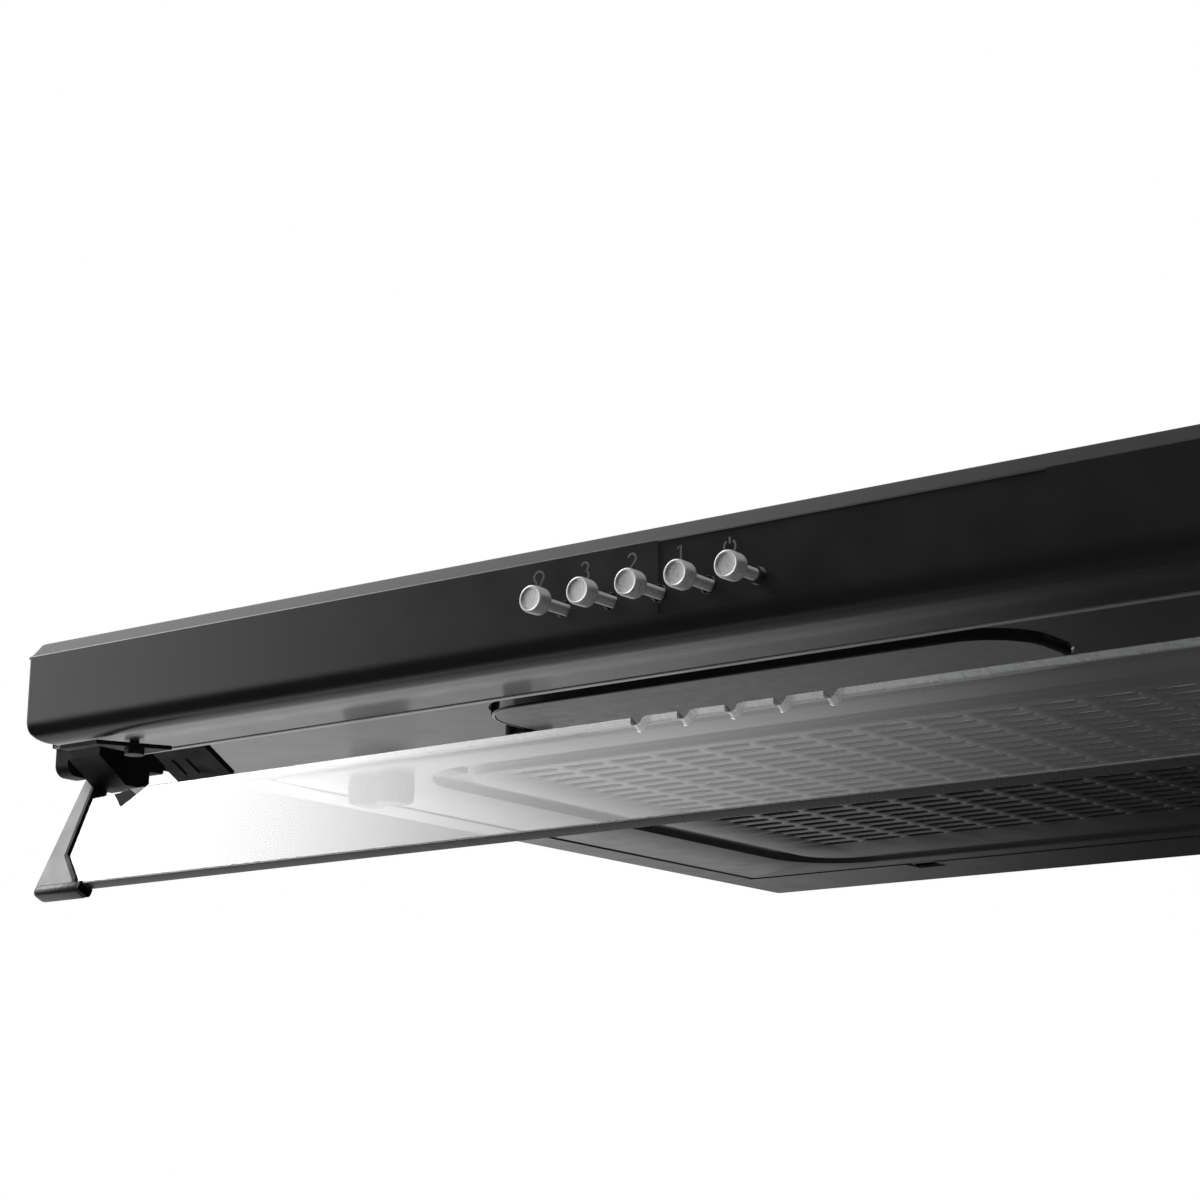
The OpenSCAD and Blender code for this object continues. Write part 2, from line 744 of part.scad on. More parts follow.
module impeller()
    color([0.85, 0.85, 0.83]) from_front() translate([scroll_x, scroll_d, 0]) {
        // cup round the motor, with the upper ring
        rotate_extrude() {
            translate([shaft_r, 38]) square([5, 6]);
            translate([shaft_r, 42]) square([46 - shaft_r, 2]);
            translate([44.5, 42]) square([2, 32]);
            translate([44.5, 72]) square([impeller_r - 44.5, 2]);
            translate([blade_r0 - 1, 26]) square([impeller_r - blade_r0 + 1, 2]);
        }
        for (i = [0:blade_count - 1]) rotate(360 * i / blade_count)
            translate([(blade_r0 + impeller_r) / 2, 0, 27]) rotate(28)
                translate([-6.2, -0.6, 0]) cube([12.4, 1.2, 46]);
    }

module motor_at() from_front() translate([scroll_x, scroll_d, 0]) children();

module motor_casing()
    color([0.45, 0.46, 0.48]) motor_at() difference() {
        translate([0, 0, motor_h0]) cylinder(r = motor_r, h = motor_h1 - motor_h0);
        difference() {
            translate([0, 0, motor_h0 + 1]) cylinder(r = motor_r - 1, h = motor_h1 - motor_h0 - 2);
            // bearing seats
            translate([0, 0, motor_h0]) cylinder(r = 10, h = 7);
            translate([0, 0, motor_h1 - 7]) cylinder(r = 10, h = 7);
        }
        translate([0, 0, motor_h0 - 1]) cylinder(r = 8, h = motor_h1 - motor_h0);
        translate([0, 0, motor_h1 - 8]) cylinder(r = 8, h = 7);
    }

module motor_bearings()
    color([0.7, 0.5, 0.25]) motor_at()
        for (h = [motor_h0, motor_h1 - 7]) translate([0, 0, h]) difference() {
            cylinder(r = 8, h = 6);
            translate([0, 0, -1]) cylinder(r = shaft_r + run, h = 8);
        }

module motor_stator()
    color([0.4, 0.4, 0.42]) motor_at() translate([0, 0, 56]) difference() {
        cylinder(r = motor_r - 1, h = 14);
        translate([0, 0, -1]) cylinder(r = 22, h = 16);
    }

module motor_windings()
    color([0.72, 0.42, 0.2]) motor_at()
        for (h = [50.5, 70]) translate([0, 0, h]) difference() {
            cylinder(r = 38, h = 5.5);
            translate([0, 0, -1]) cylinder(r = 24, h = 8);
        }

module motor_rotor()
    color([0.5, 0.5, 0.52]) motor_at() translate([0, 0, 56]) difference() {
        cylinder(r = 21.4, h = 14);
        translate([0, 0, -1]) cylinder(r = shaft_r, h = 16);
    }

module motor_shaft()
    color([0.78, 0.78, 0.8]) motor_at() translate([0, 0, 36]) cylinder(r = shaft_r, h = motor_h1 - 38);

module capacitor()
    color([0.8, 0.8, 0.78]) from_front() {
        y_rod(14, 300, 350, -225, 62);
        block(-239, -211, 318, 332, 62, box_h - sheet);
    }

// ---------- outlet ----------

flap_h = box_h + 12;
flap_r = collar_r - 2.6;
flap_pin_r = 1.5;

module outlet_collar()
    color([0.1, 0.1, 0.1]) from_front() translate([0, collar_d, 0]) difference() {
        union() {
            z_rod(collar_r, box_h, box_h + collar_h, 0, 0);
            z_rod(collar_r + 11, box_h, box_h + 2, 0, 0);
            z_rod(collar_r - 2, box_h - 4, box_h + 1, 0, 0);
        }
        z_rod(collar_r - 2, box_h + 1, box_h + collar_h + 1, 0, 0);
        z_rod(collar_r - 4, box_h - 5, box_h + 2, 0, 0);
        for (a = collar_screw_angles)
            z_rod(2.1, box_h - 1, box_h + 3, collar_screw_r * cos(a), collar_screw_r * sin(a));
        x_rod(flap_pin_r, -collar_r - 1, collar_r + 1, 0, flap_h);
    }

module collar_screws()
    color([0.6, 0.6, 0.62]) from_front()
        for (a = collar_screw_angles)
            screw_down(collar_screw_r * cos(a), collar_d + collar_screw_r * sin(a), box_h + 2, 3.4);

module flap_pin()
    color([0.75, 0.75, 0.77]) from_front()
        x_rod(flap_pin_r, -collar_r + 0.2, collar_r - 0.2, collar_d, flap_h);

knuckle_len = 10;

// half-round flap; s is -1 for the front one, and its knuckles lie between the other's
module flap(s)
    color([0.16, 0.16, 0.16]) from_front() translate([0, collar_d, flap_h]) {
        x0 = s < 0 ? -40 : -28;
        difference() {
            union() {
                difference() {
                    translate([0, 0, -0.6]) cylinder(r = flap_r, h = 1.2);
                    translate([-100, s < 0 ? -3.4 : -200 + 3.4, -5]) cube([200, 200, 10]);
                }
                for (x = [x0, x0 + 34]) {
                    x_rod(2.8, x, x + knuckle_len, 0, 0);
                    block(x, x + knuckle_len, s < 0 ? -5 : 0, s < 0 ? 0 : 5, -0.6, 0.6);
                }
            }
            x_rod(flap_pin_r + run, -60, 60, 0, 0);
        }
    }

module flap_front() flap(-1);
module flap_rear() flap(1);

// ---------- electrics ----------

term_x0 = -275;
term_x1 = -205;
term_d0 = 400;
term_d1 = 460;
term_h0 = 44;

module terminal_box()
    color([0.2, 0.2, 0.21]) from_front() difference() {
        block(term_x0, term_x1, term_d0, term_d1, term_h0 + 2, box_h - sheet);
        block(term_x0 + 2, term_x1 - 2, term_d0 + 2, term_d1 - 2, term_h0, box_h - sheet - 2);
        z_rod(6, 60, box_h + 2, gland_x, gland_d);
        y_rod(2.6, term_d0 - 3, term_d0 + 5, -250, 64);
    }

module terminal_lid()
    color([0.3, 0.3, 0.31]) from_front() {
        block(term_x0, term_x1, term_d0, term_d1, term_h0, term_h0 + 2);
        block(term_x0 + 2.2, term_x1 - 2.2, term_d0 + 2.2, term_d1 - 2.2, term_h0 + 1, term_h0 + 4);
    }

module cable_gland()
    color([0.05, 0.05, 0.05]) from_front() difference() {
        union() {
            z_rod(6, box_h - 8, box_h + 1, gland_x, gland_d);
            z_rod(9, box_h, box_h + 3, gland_x, gland_d);
        }
        z_rod(4, box_h - 10, box_h + 5, gland_x, gland_d);
    }

// the loom leaves the terminal box, follows the left side and serves the lamps and switches
loom_r = 2.5;
loom_thin_r = 2.2;                 // of the runs that join the thicker ones
loom_x = -285;
loom_d = 160;                      // where the loom drops to the low front part
loom_h0 = 20;
loom_h1 = 64;
loom_lamp_d = 60;
loom_switch_d = 30;

module wiring_loom()
    color([0.7, 0.7, 0.72]) from_front() {
        y_rod(loom_r, 374, 402, -250, loom_h1);
        x_rod(loom_thin_r, loom_x, -250, 377, loom_h1);
        y_rod(loom_r, loom_d - 3, 380, loom_x, loom_h1);
        z_rod(loom_thin_r, loom_h0, loom_h1, loom_x, loom_d);
        y_rod(loom_r, loom_switch_d - 3, loom_d + 3, loom_x, loom_h0);
        x_rod(loom_thin_r, loom_x, -tray_x + 2, loom_lamp_d, loom_h0);
        x_rod(loom_thin_r, loom_x, -52, loom_switch_d, loom_h0);
    }

// ---------- nodes ----------

canopy_shell();
side_panel_left();
side_panel_right();
front_fascia();
switch_screws();
front_strip();
lamp_tray();
lamp_diffuser();
diffuser_catch();
lamp_holder_left();
lamp_holder_right();
lamp_left();
lamp_right();
switch_bank();
button_light();
button_speed_3();
button_speed_2();
button_speed_1();
button_power();
hinge_bracket_left();
hinge_bracket_right();
hinge_pins();
bracket_screws();
visor_glass();
visor_cap_left();
visor_cap_right();
grille_panel();
grille_hinge_clips();
grille_hinge_pins();
grease_filter();
filter_wires();
latch_left();
latch_right();
latch_guides();
scroll_housing();
scroll_cover();
scroll_screws();
impeller();
motor_casing();
motor_stator();
motor_windings();
motor_rotor();
motor_shaft();
motor_bearings();
capacitor();
outlet_collar();
collar_screws();
flap_pin();
flap_front();
flap_rear();
terminal_box();
terminal_lid();
cable_gland();
wiring_loom();
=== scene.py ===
import json
import math

import bmesh
import bpy
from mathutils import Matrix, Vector

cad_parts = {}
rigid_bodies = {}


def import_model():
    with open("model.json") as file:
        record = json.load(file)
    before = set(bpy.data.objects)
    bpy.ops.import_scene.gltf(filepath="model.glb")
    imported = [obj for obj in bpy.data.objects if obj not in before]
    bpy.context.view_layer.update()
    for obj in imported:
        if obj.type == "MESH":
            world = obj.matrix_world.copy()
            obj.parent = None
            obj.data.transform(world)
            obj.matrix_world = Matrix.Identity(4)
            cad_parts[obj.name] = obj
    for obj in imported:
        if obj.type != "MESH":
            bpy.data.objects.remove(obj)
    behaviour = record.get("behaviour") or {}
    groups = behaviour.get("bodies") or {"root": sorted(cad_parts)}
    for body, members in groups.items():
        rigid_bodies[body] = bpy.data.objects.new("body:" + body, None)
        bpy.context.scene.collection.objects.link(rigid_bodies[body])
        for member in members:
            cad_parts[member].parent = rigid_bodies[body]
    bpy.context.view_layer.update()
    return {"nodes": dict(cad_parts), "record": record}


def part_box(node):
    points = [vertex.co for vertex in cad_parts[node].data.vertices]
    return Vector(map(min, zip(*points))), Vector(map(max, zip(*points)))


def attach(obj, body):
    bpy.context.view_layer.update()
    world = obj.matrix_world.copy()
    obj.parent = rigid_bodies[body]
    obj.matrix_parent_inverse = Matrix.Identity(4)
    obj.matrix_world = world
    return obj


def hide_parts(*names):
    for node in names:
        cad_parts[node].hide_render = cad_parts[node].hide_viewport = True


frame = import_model()
MM = 0.001

scene = bpy.context.scene
scene.view_settings.view_transform = "Standard"

# the hood's own frame: x along it, d back from the front face, h up from the underside
FASCIA_LO, FASCIA_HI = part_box("front_fascia")
HALF_W = FASCIA_HI.x / MM
FRONT_Y = FASCIA_LO.y
UNDER_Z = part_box("canopy_shell")[0].z


def at(x, d, h):
    return Vector((x * MM, FRONT_Y + d * MM, UNDER_Z + h * MM))


# ---------- materials ----------


class Nodes:
    """A material and short calls for the nodes in it."""

    def __init__(self, name):
        self.mat = bpy.data.materials.new(name)
        self.mat.use_nodes = True
        self.tree = self.mat.node_tree
        self.bsdf = self.tree.nodes["Principled BSDF"]
        self.coord = self.tree.nodes.new("ShaderNodeTexCoord")

    def put(self, node, **sockets):
        n = self.tree.nodes.new("ShaderNode" + node)
        for key, value in sockets.items():
            if hasattr(n, key) and key not in n.inputs:
                setattr(n, key, value)
                continue
            if isinstance(value, bpy.types.NodeSocket):
                self.tree.links.new(value, n.inputs[key])
            else:
                n.inputs[key].default_value = value
        return n

    def stretched(self, sx, sy, sz):
        m = self.put("Mapping")
        self.tree.links.new(self.coord.outputs["Object"], m.inputs["Vector"])
        m.inputs["Scale"].default_value = (sx, sy, sz)
        return m.outputs["Vector"]

    def noise(self, scale, detail=3.0, vector=None, rough=0.5):
        n = self.put("TexNoise", Scale=scale, Detail=detail, Roughness=rough)
        self.tree.links.new(vector or self.coord.outputs["Object"], n.inputs["Vector"])
        return n.outputs["Fac"]

    def ramp(self, fac, stops):
        n = self.put("ValToRGB")
        self.tree.links.new(fac, n.inputs["Fac"])
        e = n.color_ramp.elements
        while len(e) < len(stops):
            e.new(0.5)
        for el, (pos, col) in zip(e, stops):
            el.position = pos
            el.color = (*col, 1.0) if len(col) == 3 else col
        return n.outputs["Color"]

    def mottled(self, fac, dark, light):
        """Base colour that drifts between two close colours."""
        self.link("Base Color", self.ramp(fac, [(0.3, dark), (0.7, light)]))

    def spread(self, fac, low, high):
        n = self.put("MapRange")
        n.inputs["To Min"].default_value = low
        n.inputs["To Max"].default_value = high
        n.inputs["From Min"].default_value = 0.3
        n.inputs["From Max"].default_value = 0.7
        self.tree.links.new(fac, n.inputs["Value"])
        return n.outputs["Result"]

    def link(self, socket, value):
        if isinstance(value, bpy.types.NodeSocket):
            self.tree.links.new(value, self.bsdf.inputs[socket])
        else:
            self.bsdf.inputs[socket].default_value = value

    def bump(self, height, strength, distance=0.001, normal=None):
        n = self.put("Bump")
        n.inputs["Strength"].default_value = strength
        n.inputs["Distance"].default_value = distance
        self.tree.links.new(height, n.inputs["Height"])
        if normal is not None:
            self.tree.links.new(normal, n.inputs["Normal"])
        self.tree.links.new(n.outputs["Normal"], self.bsdf.inputs["Normal"])
        return n.outputs["Normal"]


def smooth_ramp(tree, value, low, high, to=1.0):
    n = tree.nodes.new("ShaderNodeMapRange")
    n.interpolation_type = "SMOOTHSTEP"
    n.inputs["From Min"].default_value = low
    n.inputs["From Max"].default_value = high
    n.inputs["To Max"].default_value = to
    tree.links.new(value, n.inputs["Value"])
    return n.outputs["Result"]


def math_node(tree, operation, a, b):
    n = tree.nodes.new("ShaderNodeMath")
    n.operation = operation
    for i, v in enumerate((a, b)):
        if isinstance(v, (int, float)):
            n.inputs[i].default_value = v
        else:
            tree.links.new(v, n.inputs[i])
    return n.outputs[0]


def shade(colour, k):
    return tuple(min(1.0, c * k) for c in colour)


def painted(name, colour, rough, spec=0.5):
    """Enamel or powder coat: faint colour clouds, fine orange peel, softly varying gloss."""
    n = Nodes(name)
    n.mottled(n.noise(14.0, 4.0), shade(colour, 0.88), shade(colour, 1.12))
    n.link("Roughness", n.spread(n.noise(60.0, 5.0), rough * 0.9, rough * 1.12))
    n.link("Specular IOR Level", spec)
    n.bump(n.noise(2200.0, 2.0), 0.03)
    return n.mat


def moulded(name, colour, rough, grain=900.0, bump=0.12, spec=0.5):
    """Moulded plastic with a spark-eroded grain."""
    n = Nodes(name)
    n.mottled(n.noise(35.0, 4.0), shade(colour, 0.85), shade(colour, 1.15))
    n.link("Roughness", n.spread(n.noise(120.0, 4.0), rough * 0.85, rough * 1.15))
    n.link("Specular IOR Level", spec)
    n.bump(n.noise(grain, 3.0), bump)
    return n.mat


def metal(name, colour, rough, stretch=(1, 1, 1), bump=0.05, metallic=1.0):
    """Metal with drawn or rolled lines along the axis whose stretch is small."""
    n = Nodes(name)
    lines = n.noise(700.0, 3.0, n.stretched(*stretch))
    n.mottled(lines, shade(colour, 0.86), shade(colour, 1.08))
    n.link("Metallic", metallic)
    smears = n.noise(90.0, 4.0, n.stretched(*stretch))
    n.link("Roughness", n.spread(smears, rough * 0.8, rough * 1.25))
    n.bump(lines, bump)
    return n.mat


def spangled(name):
    """Galvanised sheet: crystal flakes of slightly different grey."""
    n = Nodes(name)
    cells = n.put("TexVoronoi", Scale=160.0)
    n.tree.links.new(n.coord.outputs["Object"], cells.inputs["Vector"])
    flakes = [(0.0, (0.36, 0.38, 0.4)), (1.0, (0.62, 0.64, 0.66))]
    n.link("Base Color", n.ramp(cells.outputs["Color"], flakes))
    n.link("Metallic", 1.0)
    n.link("Roughness", n.spread(cells.outputs["Distance"], 0.32, 0.5))
    n.bump(n.noise(500.0), 0.04)
    return n.mat


def clear_glass(name):
    """A thin pane: what lies behind shows straight through, and only its front face mirrors."""
    n = Nodes(name)
    n.tree.nodes.remove(n.bsdf)
    through = n.put("BsdfTransparent")
    tint = n.ramp(n.noise(3.0, 1.0), [(0.3, (0.955, 0.965, 0.96)), (0.7, (0.965, 0.975, 0.97))])
    n.tree.links.new(tint, through.inputs["Color"])
    mirror = n.put("BsdfGlossy")
    mirror.inputs["Roughness"].default_value = 0.02
    ripple = n.put("Bump")
    ripple.inputs["Strength"].default_value = 0.02
    ripple.inputs["Distance"].default_value = 0.002
    n.tree.links.new(n.noise(9.0, 1.0), ripple.inputs["Height"])
    n.tree.links.new(ripple.outputs["Normal"], mirror.inputs["Normal"])
    share = n.put("Fresnel", IOR=1.5)
    twice = math_node(n.tree, "MULTIPLY", share.outputs[0], 1.9)
    side = n.put("NewGeometry")
    front = math_node(n.tree, "SUBTRACT", 1.0, side.outputs["Backfacing"])
    amount = math_node(n.tree, "MULTIPLY", twice, front)
    mix = n.put("MixShader")
    n.tree.links.new(amount, mix.inputs[0])
    n.tree.links.new(through.outputs[0], mix.inputs[1])
    n.tree.links.new(mirror.outputs[0], mix.inputs[2])
    out = n.tree.nodes["Material Output"]
    n.tree.links.new(mix.outputs[0], out.inputs["Surface"])
    return n.mat


def ground_edge(name):
    """Ground and polished rim of the pane: pale, slightly milky, with fine grinding lines."""
    n = Nodes(name)
    lines = n.noise(600.0, 3.0, n.stretched(0.05, 1, 1))
    n.mottled(lines, (0.15, 0.16, 0.16), (0.22, 0.235, 0.23))
    n.link("Transmission Weight", 0.35)
    n.link("Roughness", n.spread(n.noise(200.0), 0.22, 0.34))
    n.bump(lines, 0.05)
    return n.mat


def frosted(name, colour):
    """Face of the lamp lens: dull and evenly grained."""
    n = Nodes(name)
    n.mottled(n.noise(20.0), shade(colour, 0.93), colour)
    n.link("Roughness", n.spread(n.noise(200.0), 0.3, 0.38))
    n.bump(n.noise(1500.0, 2.0), 0.08)
    return n.mat


def fibrous(name, colour):
    """Fleece: long fibres over tufts."""
    n = Nodes(name)
    long_fibres = n.noise(900.0, 8.0, n.stretched(1, 1, 2), 0.75)
    tufts = n.noise(160.0, 6.0)
    n.link("Base Color", n.ramp(long_fibres, [(0.25, shade(colour, 0.55)), (0.75, colour)]))
    n.link("Roughness", 0.95)
    n.link("Sheen Weight", 0.25)
    first = n.bump(tufts, 0.6, 0.002)
    n.bump(long_fibres, 0.8, 0.0008, first)
    return n.mat


MATERIALS = {m.name.split(".")[0]: m for m in (
    painted("painted_sheet", (0.013, 0.013, 0.014), 0.24),
    painted("fascia_paint", (0.010, 0.010, 0.0112), 0.22),
    painted("flange_paint", (0.014, 0.014, 0.0155), 0.22, 0.55),
    painted("strip_paint", (0.020, 0.020, 0.019), 0.20, 0.34),
    metal("zinc_screw", (0.62, 0.63, 0.64), 0.3),
    metal("reflector", (0.86, 0.87, 0.88), 0.16, (1, 8, 8)),
    frosted("diffuser", (0.10, 0.10, 0.098)),
    moulded("black_plastic", (0.0035, 0.0035, 0.0035), 0.5, spec=0.2),
    moulded("ceramic", (0.78, 0.76, 0.72), 0.25, 300.0, 0.03),
    moulded("lamp_glass", (0.86, 0.85, 0.82), 0.2, 60.0, 0.02),
    metal("button_metal", (0.62, 0.62, 0.63), 0.3, (1, 40, 1), metallic=0.7),
    metal("steel_pin", (0.6, 0.6, 0.62), 0.25, (1, 20, 20)),
    clear_glass("visor_glass"),
    ground_edge("glass_rim"),
    moulded("print_grey", (0.11, 0.11, 0.112), 0.6, spec=0.2),
    moulded("lens_wall", (0.004, 0.004, 0.004), 0.12, 300.0, 0.02),
    # light metal colour on the black sheet's rolled lip: a painted highlight
    metal("lip_trim", (0.55, 0.55, 0.56), 0.38, (0.05, 1, 1)),
    moulded("black_screw", (0.006, 0.006, 0.006), 0.45, spec=0.25),
    moulded("visor_cap", (0.23, 0.225, 0.235), 0.42),
    moulded("visor_trim", (0.022, 0.022, 0.023), 0.3),
    spangled("zinc_sheet"),
    fibrous("filter_fleece", (0.72, 0.72, 0.70)),
    moulded("latch_plastic", (0.02, 0.02, 0.02), 0.4),
    moulded("housing_plastic", (0.03, 0.03, 0.032), 0.5),
    moulded("impeller_plastic", (0.62, 0.62, 0.6), 0.45),
    metal("motor_metal", (0.42, 0.43, 0.45), 0.4, (1, 1, 30)),
    metal("copper", (0.72, 0.32, 0.15), 0.35, (1, 1, 120), bump=0.3),
    metal("bronze", (0.55, 0.38, 0.18), 0.35),
    moulded("capacitor_can", (0.66, 0.66, 0.63), 0.35),
    moulded("loom_sleeve", (0.35, 0.35, 0.36), 0.6, 1400.0, 0.4),
)}

# ---------- mesh helpers ----------


def new_object(name, verts, faces, slot, body, sharp=35.0):
    me = bpy.data.meshes.new(name)
    me.from_pydata([tuple(v) for v in verts], [], faces)
    bm = bmesh.new()
    bm.from_mesh(me)
    bmesh.ops.recalc_face_normals(bm, faces=bm.faces)
    bm.to_mesh(me)
    bm.free()
    return dress(bpy.data.objects.new(name, me), slot, body, sharp)


def dress(o, slot, body, sharp=35.0):
    """Gives a piece its material, smooth shading and place in the moving parts."""
    if o.name not in scene.collection.objects:
        scene.collection.objects.link(o)
    o.data.materials.clear()
    o.data.materials.append(MATERIALS[slot] if slot in MATERIALS else slot)
    o.data.shade_smooth()
    o.data.set_sharp_from_angle(angle=math.radians(sharp))
    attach(o, body)
    return o


def bevel(o, width, segments=2, angle=35.0):
    m = o.modifiers.new("bevel", "BEVEL")
    m.width = width * MM
    m.segments = segments
    m.limit_method = "ANGLE"
    m.angle_limit = math.radians(angle)
    m.harden_normals = True
    m.use_clamp_overlap = True
    return o


def settle(o):
    """Replaces the mesh by the mesh after its modifiers."""
    dg = bpy.context.evaluated_depsgraph_get()
    me = bpy.data.meshes.new_from_object(o.evaluated_get(dg))
    o.modifiers.clear()
    o.data = me
    return o


def softened(node, width):
    """The shape of a CAD node with its edges rounded as bent or moulded ones are."""
    src = frame["nodes"][node]
    bm = bmesh.new()
    bm.from_mesh(src.data)
    bmesh.ops.remove_doubles(bm, verts=bm.verts, dist=2e-6)
    flat = math.radians(1.0)
    bmesh.ops.dissolve_limit(bm, angle_limit=flat, verts=bm.verts, edges=bm.edges)
    me = bpy.data.meshes.new(node + "_soft")
    bm.to_mesh(me)
    bm.free()
    o = bpy.data.objects.new(node + "_finished", me)
    dress(o, SLOTS[node], BODY_OF[node])
    bevel(o, width)
    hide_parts(node)


def loop_grid(loops, closed=True, close_loops=False):
    """Faces between equal loops of points; closed joins each loop's ends."""
    n = len(loops[0])
    verts = [p for loop in loops for p in loop]
    faces = []
    for i in range(len(loops) - 1 + (1 if close_loops else 0)):
        a, b = i * n, ((i + 1) % len(loops)) * n
        for j in range(n if closed else n - 1):
            k = (j + 1) % n
            faces.append((a + j, a + k, b + k, b + j))
    return verts, faces


def capped(loops, closed=True):
    """A solid over equal loops, with its first and last loop filled."""
    verts, faces = loop_grid(loops, closed)
    n = len(loops[0])
    return verts, faces + [tuple(range(n)), tuple(range(len(verts) - n, len(verts)))]


def lathe(profile, place, segments=56):
    """Closed solid from (radius, distance along +Y) pairs about the line through place along Y."""
    loops = []
    for r, d in profile:
        loops.append([
            (place.x + r * MM * math.cos(2 * math.pi * k / segments), place.y + d * MM,
             place.z + r * MM * math.sin(2 * math.pi * k / segments))
            for k in range(segments)
        ])
    return capped(loops)


def rounded(points, radii, steps=5):
    """A closed outline with its corners rounded to the given radii (0 keeps a corner)."""
    out = []
    n = len(points)
    for i, (p, r) in enumerate(zip(points, radii)):
        a, b = Vector(points[i - 1]), Vector(points[(i + 1) % n])
        c = Vector(p)
        if r <= 0:
            out.append(tuple(c))
            continue
        u, v = (a - c).normalized(), (b - c).normalized()
        half = math.acos(max(-1.0, min(1.0, u.dot(v)))) / 2
        if half > math.radians(88):
            out.append(tuple(c))
            continue
        cut = min(r / math.tan(half), 0.49 * (a - c).length, 0.49 * (b - c).length)
        rad = cut * math.tan(half)
        centre = c + (u + v).normalized() * (rad / math.sin(half))
        s, e = c + u * cut - centre, c + v * cut - centre
        turn = math.atan2(s.x * e.y - s.y * e.x, s.dot(e))
        for k in range(steps + 1):
            t = turn * k / steps
            out.append((
                centre.x + s.x * math.cos(t) - s.y * math.sin(t),
                centre.y + s.x * math.sin(t) + s.y * math.cos(t),
            ))
    return out


def slab(outline, low, high, place):
    """A solid between two copies of a closed outline; place turns (u, v, w) into a point."""
    n = len(outline)
    verts = [place(u, v, low) for u, v in outline] + [place(u, v, high) for u, v in outline]
    faces = [(i, (i + 1) % n, n + (i + 1) % n, n + i) for i in range(n)]
    return verts, faces + [tuple(range(n)), tuple(range(n, 2 * n))]


SLOTS, BODY_OF = {}, {}
for name, node in frame["nodes"].items():
    SLOTS[name] = node.material_slots[0].material.name.split(".")[0]
for body, names in frame["record"]["behaviour"]["bodies"].items():
    for name in names:
        BODY_OF[name] = body
JOINTS = {j["name"]: j for j in frame["record"]["behaviour"]["joints"]}


def paint_nodes():
    """Procedural materials on the carried-over CAD nodes; the bracket screws are blackened."""
    for name, node in frame["nodes"].items():
        for s in node.material_slots:
            s.material = MATERIALS["black_screw" if name == "bracket_screws" else SLOTS[name]]


# ---------- pieces ----------

BUTTON_H = 16.0
BUTTON_PITCH = 19.2
BUTTON_X = [(i - 2) * BUTTON_PITCH for i in range(5)]
BUTTON_HOLE_R = 2.9
FASCIA_TOP = 39.5
FASCIA_D = 14.0                     # where the fascia's outline ends at its top and bottom
FACE_LOW = 9.0                      # lowest point of the flat face
SHEET_T = 1.0


def front_profile(h_top, foot):
    """Outline of the fascia from its top edge round the foot, as (d, h, normal d, normal h)."""
    corners = [(FASCIA_D, h_top), (4.5, h_top), (0, h_top - 5.8), (0, FACE_LOW)]
    pts = rounded(corners, [0, 1.6, 0.9, 0])
    pts = [p for p in pts if p != (0, FACE_LOW)]
    for k in range(13):
        a = math.radians(180 + 90 * k / 12)
        pts.append((foot + foot * math.cos(a), foot + foot * math.sin(a)))
    pts.append((FASCIA_D, 0))
    out = []
    for i, p in enumerate(pts):
        a, b = pts[max(i - 1, 0)], pts[min(i + 1, len(pts) - 1)]
        t = Vector((b[0] - a[0], b[1] - a[1])).normalized()
        out.append((p[0], p[1], t.y, -t.x))
    return out


def end_stations(edge_r, low_r, top_r):
    """Distances from the hood's end at which the fascia's outline is taken."""
    found = {0.0, 12.0, 30.0, 80.0, 160.0}
    for r in (edge_r, low_r, top_r):
        for k in range(1, 10):
            found.add(round(r * (1 - math.cos(math.radians(10 * k))), 3))
    return sorted(found)


